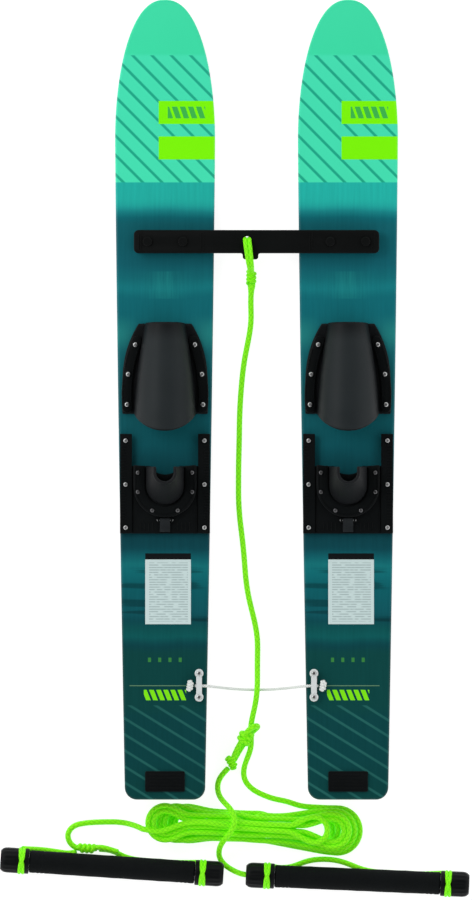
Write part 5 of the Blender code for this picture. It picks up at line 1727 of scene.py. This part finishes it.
@dataclass
class TailCord:
    """The white cord between the tails, its cleats and its stopper knots.

    The route is the left half of the cord, from its stopper knot to the middle.
    """

    radius: float = 0.002
    cleat: Pair = (0.05, 0.1673)
    half_pitch: float = 0.0175
    ring: Triple = (0.0064, 0.0024, 0.008)
    bridge: Triple = (0.0125, 0.008, 0.0042)
    tunnel: float = 0.0052
    stopper: Triple = (0.0367, 0.1665, 0.0068)
    route: Route = (
        (-0.0899, -0.4191, 0.0481), (-0.0842, -0.4191, 0.0482), (-0.077, -0.4192, 0.0483),
        (-0.0705, -0.4196, 0.0481), (-0.0635, -0.4204, 0.0452), (-0.054, -0.4216, 0.0375),
        (-0.038, -0.4235, 0.025), (-0.019, -0.425, 0.0163), (0.0, -0.4255, 0.0135))

    def build(self) -> None:
        """Make the cleats, the knots and the cord."""
        for side in Side:
            inward = -side.value
            surface = Surface()
            centre = (inward * self.cleat[0], self.cleat[1])
            radius, hole, height = self.ring
            for way in (-1, 1):
                place = STANCE.deck(side, (centre[0], centre[1] + way * self.half_pitch, GAP))
                profile = [(hole, height), (radius - 0.0012, height), (radius - 0.0003, height - 0.0006),
                           (radius, height - 0.0016), (radius, 0), (hole, 0), (hole, height)]
                turned(surface, np.array(profile), place, 32)
            place = STANCE.deck(side, (centre[0], centre[1], GAP))
            foot, gap, half = self.bridge
            bridge = np.array([(-foot, 0), (-foot, height), (foot, height), (foot, 0),
                               (gap, 0), (gap, self.tunnel), (-gap, self.tunnel), (-gap, 0)])[::-1]
            plate(surface, bridge, -half, half, across_u(place), 0.0006)
            finished(surface, f"cleat_{side.word}", Finish.WHITE,
                     ROOT, "white_plastic", f"tail_cleat_{side.word}")
            heads = Surface()
            for way in (-1, 1):
                Screw(0.0037, 0.002).add(heads, STANCE.deck(side, (
                    centre[0], centre[1] + way * self.half_pitch, GAP + height)))
            finished(heads, f"cleat_screws_{side.word}", Finish.STEEL, ROOT, "steel")
            surface = Surface()
            u, s, w = self.stopper
            point = STANCE.deck(side, (0, 0, 0))(np.array([[inward * u, s, GAP + w - 0.0010]]))[0]
            Knot(tuple(point), (0.15, 1, -0.05), 0.003, self.radius, 3.6, 0.0032).add(surface)
            finished(surface, f"stopper_knot_{side.word}", Finish.CORD,
                                  ROOT, "tail_cord", f"tail_cord_knot_{side.word}", crease=60)
        route = np.array(self.route)
        line = smooth_line(np.concatenate([route, route[-2::-1] * (-1, 1, 1)]), 0.001)
        surface = Surface()
        tube(surface, line, self.radius, around=14)
        piece = finished(surface, "white_cord", Finish.CORD, ROOT, "tail_cord", "tail_cord", crease=60)


@dataclass
class Handles:
    """The two handles: foam grips on tubes, end caps, and the rope rings in their grooves."""

    length: float = 0.328
    tube: Pair = (0.0105, 0.0125)
    grip: float = 0.0167
    cap: Pair = (0.0185, 0.042)
    groove: Triple = (0.0142, 0.0065, 0.0155)
    mouth: Pair = (0.0056, 0.004)
    wire: float = 0.0038
    twine: float = 0.0027
    spots: tuple[tuple[Side, float, float, float], ...] = (
        (Side.LEFT, -0.212, -0.6851, -3.8), (Side.RIGHT, 0.1482, -0.704, -2.5))

    def frame(self, x: float, y: float, turn: float, shift: float = 0.0, flip: bool = False) -> Place:
        """Lay the handle's own z axis along the floor, at the height of its rings.

        Args:
            x: the centre's place.
            y: the centre's place.
            turn: the handle's turn in degrees.
            shift: where the piece's own origin is along the handle.
            flip: whether the piece looks the other way.

        Returns:
            A function of points.
        """
        height = self.groove[0] + GAP + 2 * self.wire + GAP
        a = math.radians(turn)
        cos, sin = math.cos(a), math.sin(a)
        sign = -1 if flip else 1

        def place(points: Array) -> Array:
            """Turn and move the points."""
            far, side = shift + sign * points[..., 2], points[..., 1]
            return np.stack([x + cos * far - sin * side * sign, y + sin * far + cos * side * sign,
                             height - points[..., 0]], -1)
        return place

    def ring(self, side: Side, word: str, at: float, spot: Triple) -> None:
        """Two turns of thin rope that cross each other on the upper side.

        Each is a circle whose axial place is offset * sin(a), and whose radius swells at the crossing.
        """
        surface = Surface()
        a = np.arange(96) * TURN / 96
        thin = self.twine
        for way in (-1, 1):
            crossing = np.exp(-((a - math.pi) / 0.3) ** 2) + np.exp(-(np.minimum(a, TURN - a) / 0.3) ** 2)
            radius = self.groove[0] + thin + 0.0002 + 0.0022 * crossing * (way > 0)
            axial = way * thin * np.sin(a) / (0.25 + 0.75 * np.abs(np.sin(a)))
            own = np.stack([radius * np.cos(a), radius * np.sin(a), axial], 1)
            line = self.frame(*spot, at)(own)
            turn = math.radians(spot[2])
            tube(surface, line, thin, (math.cos(turn), math.sin(turn), 0), 12, closed=True)
        finished(surface, f"rope_ring_{side.word}_{word}", Finish.ROPE,
                 ROOT, "handle_ring", f"handle_{side.word}_ring_{word}", crease=60)

    def end_cap(self, side: Side, word: str, way: int, spot: Triple) -> None:
        """An end cap with a rope groove, moulded flutes, a chamfered end and an open mouth."""
        radius, end = self.cap
        inner, low, high = self.groove
        bore = self.tube[1] + 2 * GAP
        mouth, depth = self.mouth
        profile = np.array([
            (radius - 0.0052, end), (radius - 0.004, end - 0.0005), (radius - 0.0014, end - 0.0036),
            (radius - 0.0004, end - 0.0066), (radius, end - 0.01), (radius, end - 0.018), (radius, high + 0.0012),
            (radius - 0.0004, high + 0.0003), (radius - 0.001, high), (inner, high), (inner, low),
            (radius - 0.0008, low), (radius - 0.0002, low - 0.0004), (radius, low - 0.0012), (radius, 0.0012),
            (radius - 0.0004, 0.0004), (radius - 0.0012, 0), (bore, 0), (bore, end - depth),
            (mouth, end - depth), (mouth, end), (radius - 0.0052, end)])
        surface = Surface()
        place = self.frame(*spot, way * (0.5 * self.length - end), way < 0)
        turned(surface, profile, place, 96, 16, 0.0009,
               lambda z: np.clip((z - high - 0.001) / 0.002, 0, 1) * np.clip((end - 0.004 - z) / 0.003, 0, 1))
        finished(surface, f"end_cap_{side.word}_{word}", Finish.CAP,
                 ROOT, "handle_cap", f"handle_{side.word}_cap_{word}")

    def foam(self, side: Side, spot: Triple) -> None:
        """The grip: a foam sleeve with soft ends and shallow rings pressed in near them."""
        half = 0.5 * self.length - self.cap[1] - GAP
        inner = self.tube[1] + GAP
        z = np.linspace(-half, half, 181)
        end = half - np.abs(z)
        soft = 0.0018 * (1 - np.sqrt(np.clip(1 - (1 - np.clip(end / 0.0025, 0, 1)) ** 2, 0, 1)))
        marks = sum(0.00055 * np.exp(-((end - at) / 0.0011) ** 2) for at in (0.01, 0.016, 0.022))
        slack = 0.00025 * np.sin(z * 47) + 0.00015 * np.sin(z * 131)
        outer = np.stack([self.grip - soft - marks - np.abs(slack), z], 1)
        profile = np.concatenate([[(inner, half)], outer[::-1], [(inner, -half)], [(inner, half)]])
        surface = Surface()
        turned(surface, profile, self.frame(*spot), 64)
        finished(surface, f"grip_{side.word}", Finish.GRIP, ROOT, "grip_foam", f"handle_grip_{side.word}")

    def build(self) -> None:
        """Make both handles."""
        for side, *spot in self.spots:
            self.foam(side, tuple(spot))
            for word, way in (("left", -1), ("right", 1)):
                self.end_cap(side, word, way, tuple(spot))
                at = way * (0.5 * self.length - self.cap[1] + 0.5 * (self.groove[1] + self.groove[2]))
                self.ring(side, word, at, tuple(spot))


# ---------------------------------------------------------------- plain solids, studio, main


def dress(finish: Finish, slot: str, *nodes: str) -> None:
    """Give solids whose shape is right their finish."""
    for name in nodes:
        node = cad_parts[name]
        for material_slot in node.material_slots:
            material_slot.material = finish.made()
        LOG.info("%s keeps its solid", name)


@dataclass
class Studio:
    """Floor, soft light and the camera straight above the pair."""

    centre: Pair = (-0.0301, -0.0734)
    height: float = 22.0
    long_side: float = 1.3203
    sensor: float = 36.0
    lamps: tuple[tuple[str, float, float, Triple], ...] = (
        ("key", 34.0, 1.6, (-2.2, 1.2, 2.6)), ("fill", 9.0, 2.4, (2.4, -1.0, 2.4)))
    surround: tuple[float, float, float, float] = (0.55, 0.90, 1.32, 0.08)

    def camera(self) -> None:
        """A long lens that looks straight down."""
        data = bpy.data.cameras.new("camera")
        data.sensor_width = self.sensor
        data.lens = self.sensor * (self.height - 0.03) / self.long_side
        data.clip_end = 100.0
        camera = bpy.data.objects.new("camera", data)
        camera.location = (*self.centre, self.height)
        bpy.context.scene.collection.objects.link(camera)
        bpy.context.scene.camera = camera

    def floor(self) -> None:
        """A wide level floor."""
        surface = Surface()
        x, y = np.meshgrid(np.linspace(-10, 10, 9), np.linspace(-10, 10, 9), indexing="ij")
        surface.grid(np.stack([x, y, np.zeros_like(x)], 2))
        surface.build("floor", Finish.FLOOR)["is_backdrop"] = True

    def light(self, name: str, power: float, size: float, where: Sequence[float]) -> None:
        """A square soft box that looks at the middle of the pair."""
        data = bpy.data.lights.new(name, "AREA")
        data.energy, data.size = power, size
        lamp = bpy.data.objects.new(name, data)
        lamp.location = where
        lamp.rotation_euler = (-Vector(where)).to_track_quat("-Z", "Y").to_euler()
        bpy.context.scene.collection.objects.link(lamp)

    def sky(self) -> None:
        """A pale surround, dim straight overhead so that black surfaces stay black.

        Its strength goes from the third number of surround to the fourth as the height goes from the
        first to the second.
        """
        world = bpy.data.worlds.new("surround")
        bpy.context.scene.world = world
        world.use_nodes = True
        tree = world.node_tree
        where = tree.nodes.new("ShaderNodeTexCoord")
        parts = tree.nodes.new("ShaderNodeSeparateXYZ")
        fade = tree.nodes.new("ShaderNodeMapRange")
        fade.interpolation_type = "SMOOTHSTEP"
        for socket, value in enumerate(self.surround, 1):
            fade.inputs[socket].default_value = value
        background = next(n for n in tree.nodes if n.type == "BACKGROUND")
        tree.links.new(where.outputs["Generated"], parts.inputs[0])
        tree.links.new(parts.outputs[2], fade.inputs[0])
        tree.links.new(fade.outputs[0], background.inputs["Strength"])
        background.inputs["Color"].default_value = (1, 1, 1, 1)

    def build(self) -> None:
        """Set up the studio."""
        self.camera()
        self.floor()
        self.sky()
        for lamp in self.lamps:
            self.light(*lamp)
        bpy.context.scene.view_settings.view_transform = "Standard"


def corners() -> list[list[float]]:
    """The model's lowest and highest corner."""
    return [[float(value) for value in corner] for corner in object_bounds()]


def main() -> None:
    """Build every sub-assembly and dress the remaining solids."""
    logging.basicConfig(level=logging.INFO, format="%(name)s: %(message)s")
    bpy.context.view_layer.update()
    Studio().build()
    Ropes().build()
    TailCord().build()
    Handles().build()
    Boards().build()
    StabilizerBar().build()
    ToePiece().build()
    HeelPiece().build()
    sides = ("left", "right")
    dress(Finish.BAR, "steel", *[f"bar_screw_{s}_{p}" for s in sides for p in ("outer", "inner")])
    dress(Finish.STEEL, "steel", *[f"heel_lock_pin_{s}" for s in sides])
    dress(Finish.TUBE, "handle_tube", *[f"handle_tube_{s}" for s in sides])


if __name__ == "__main__":
    main()
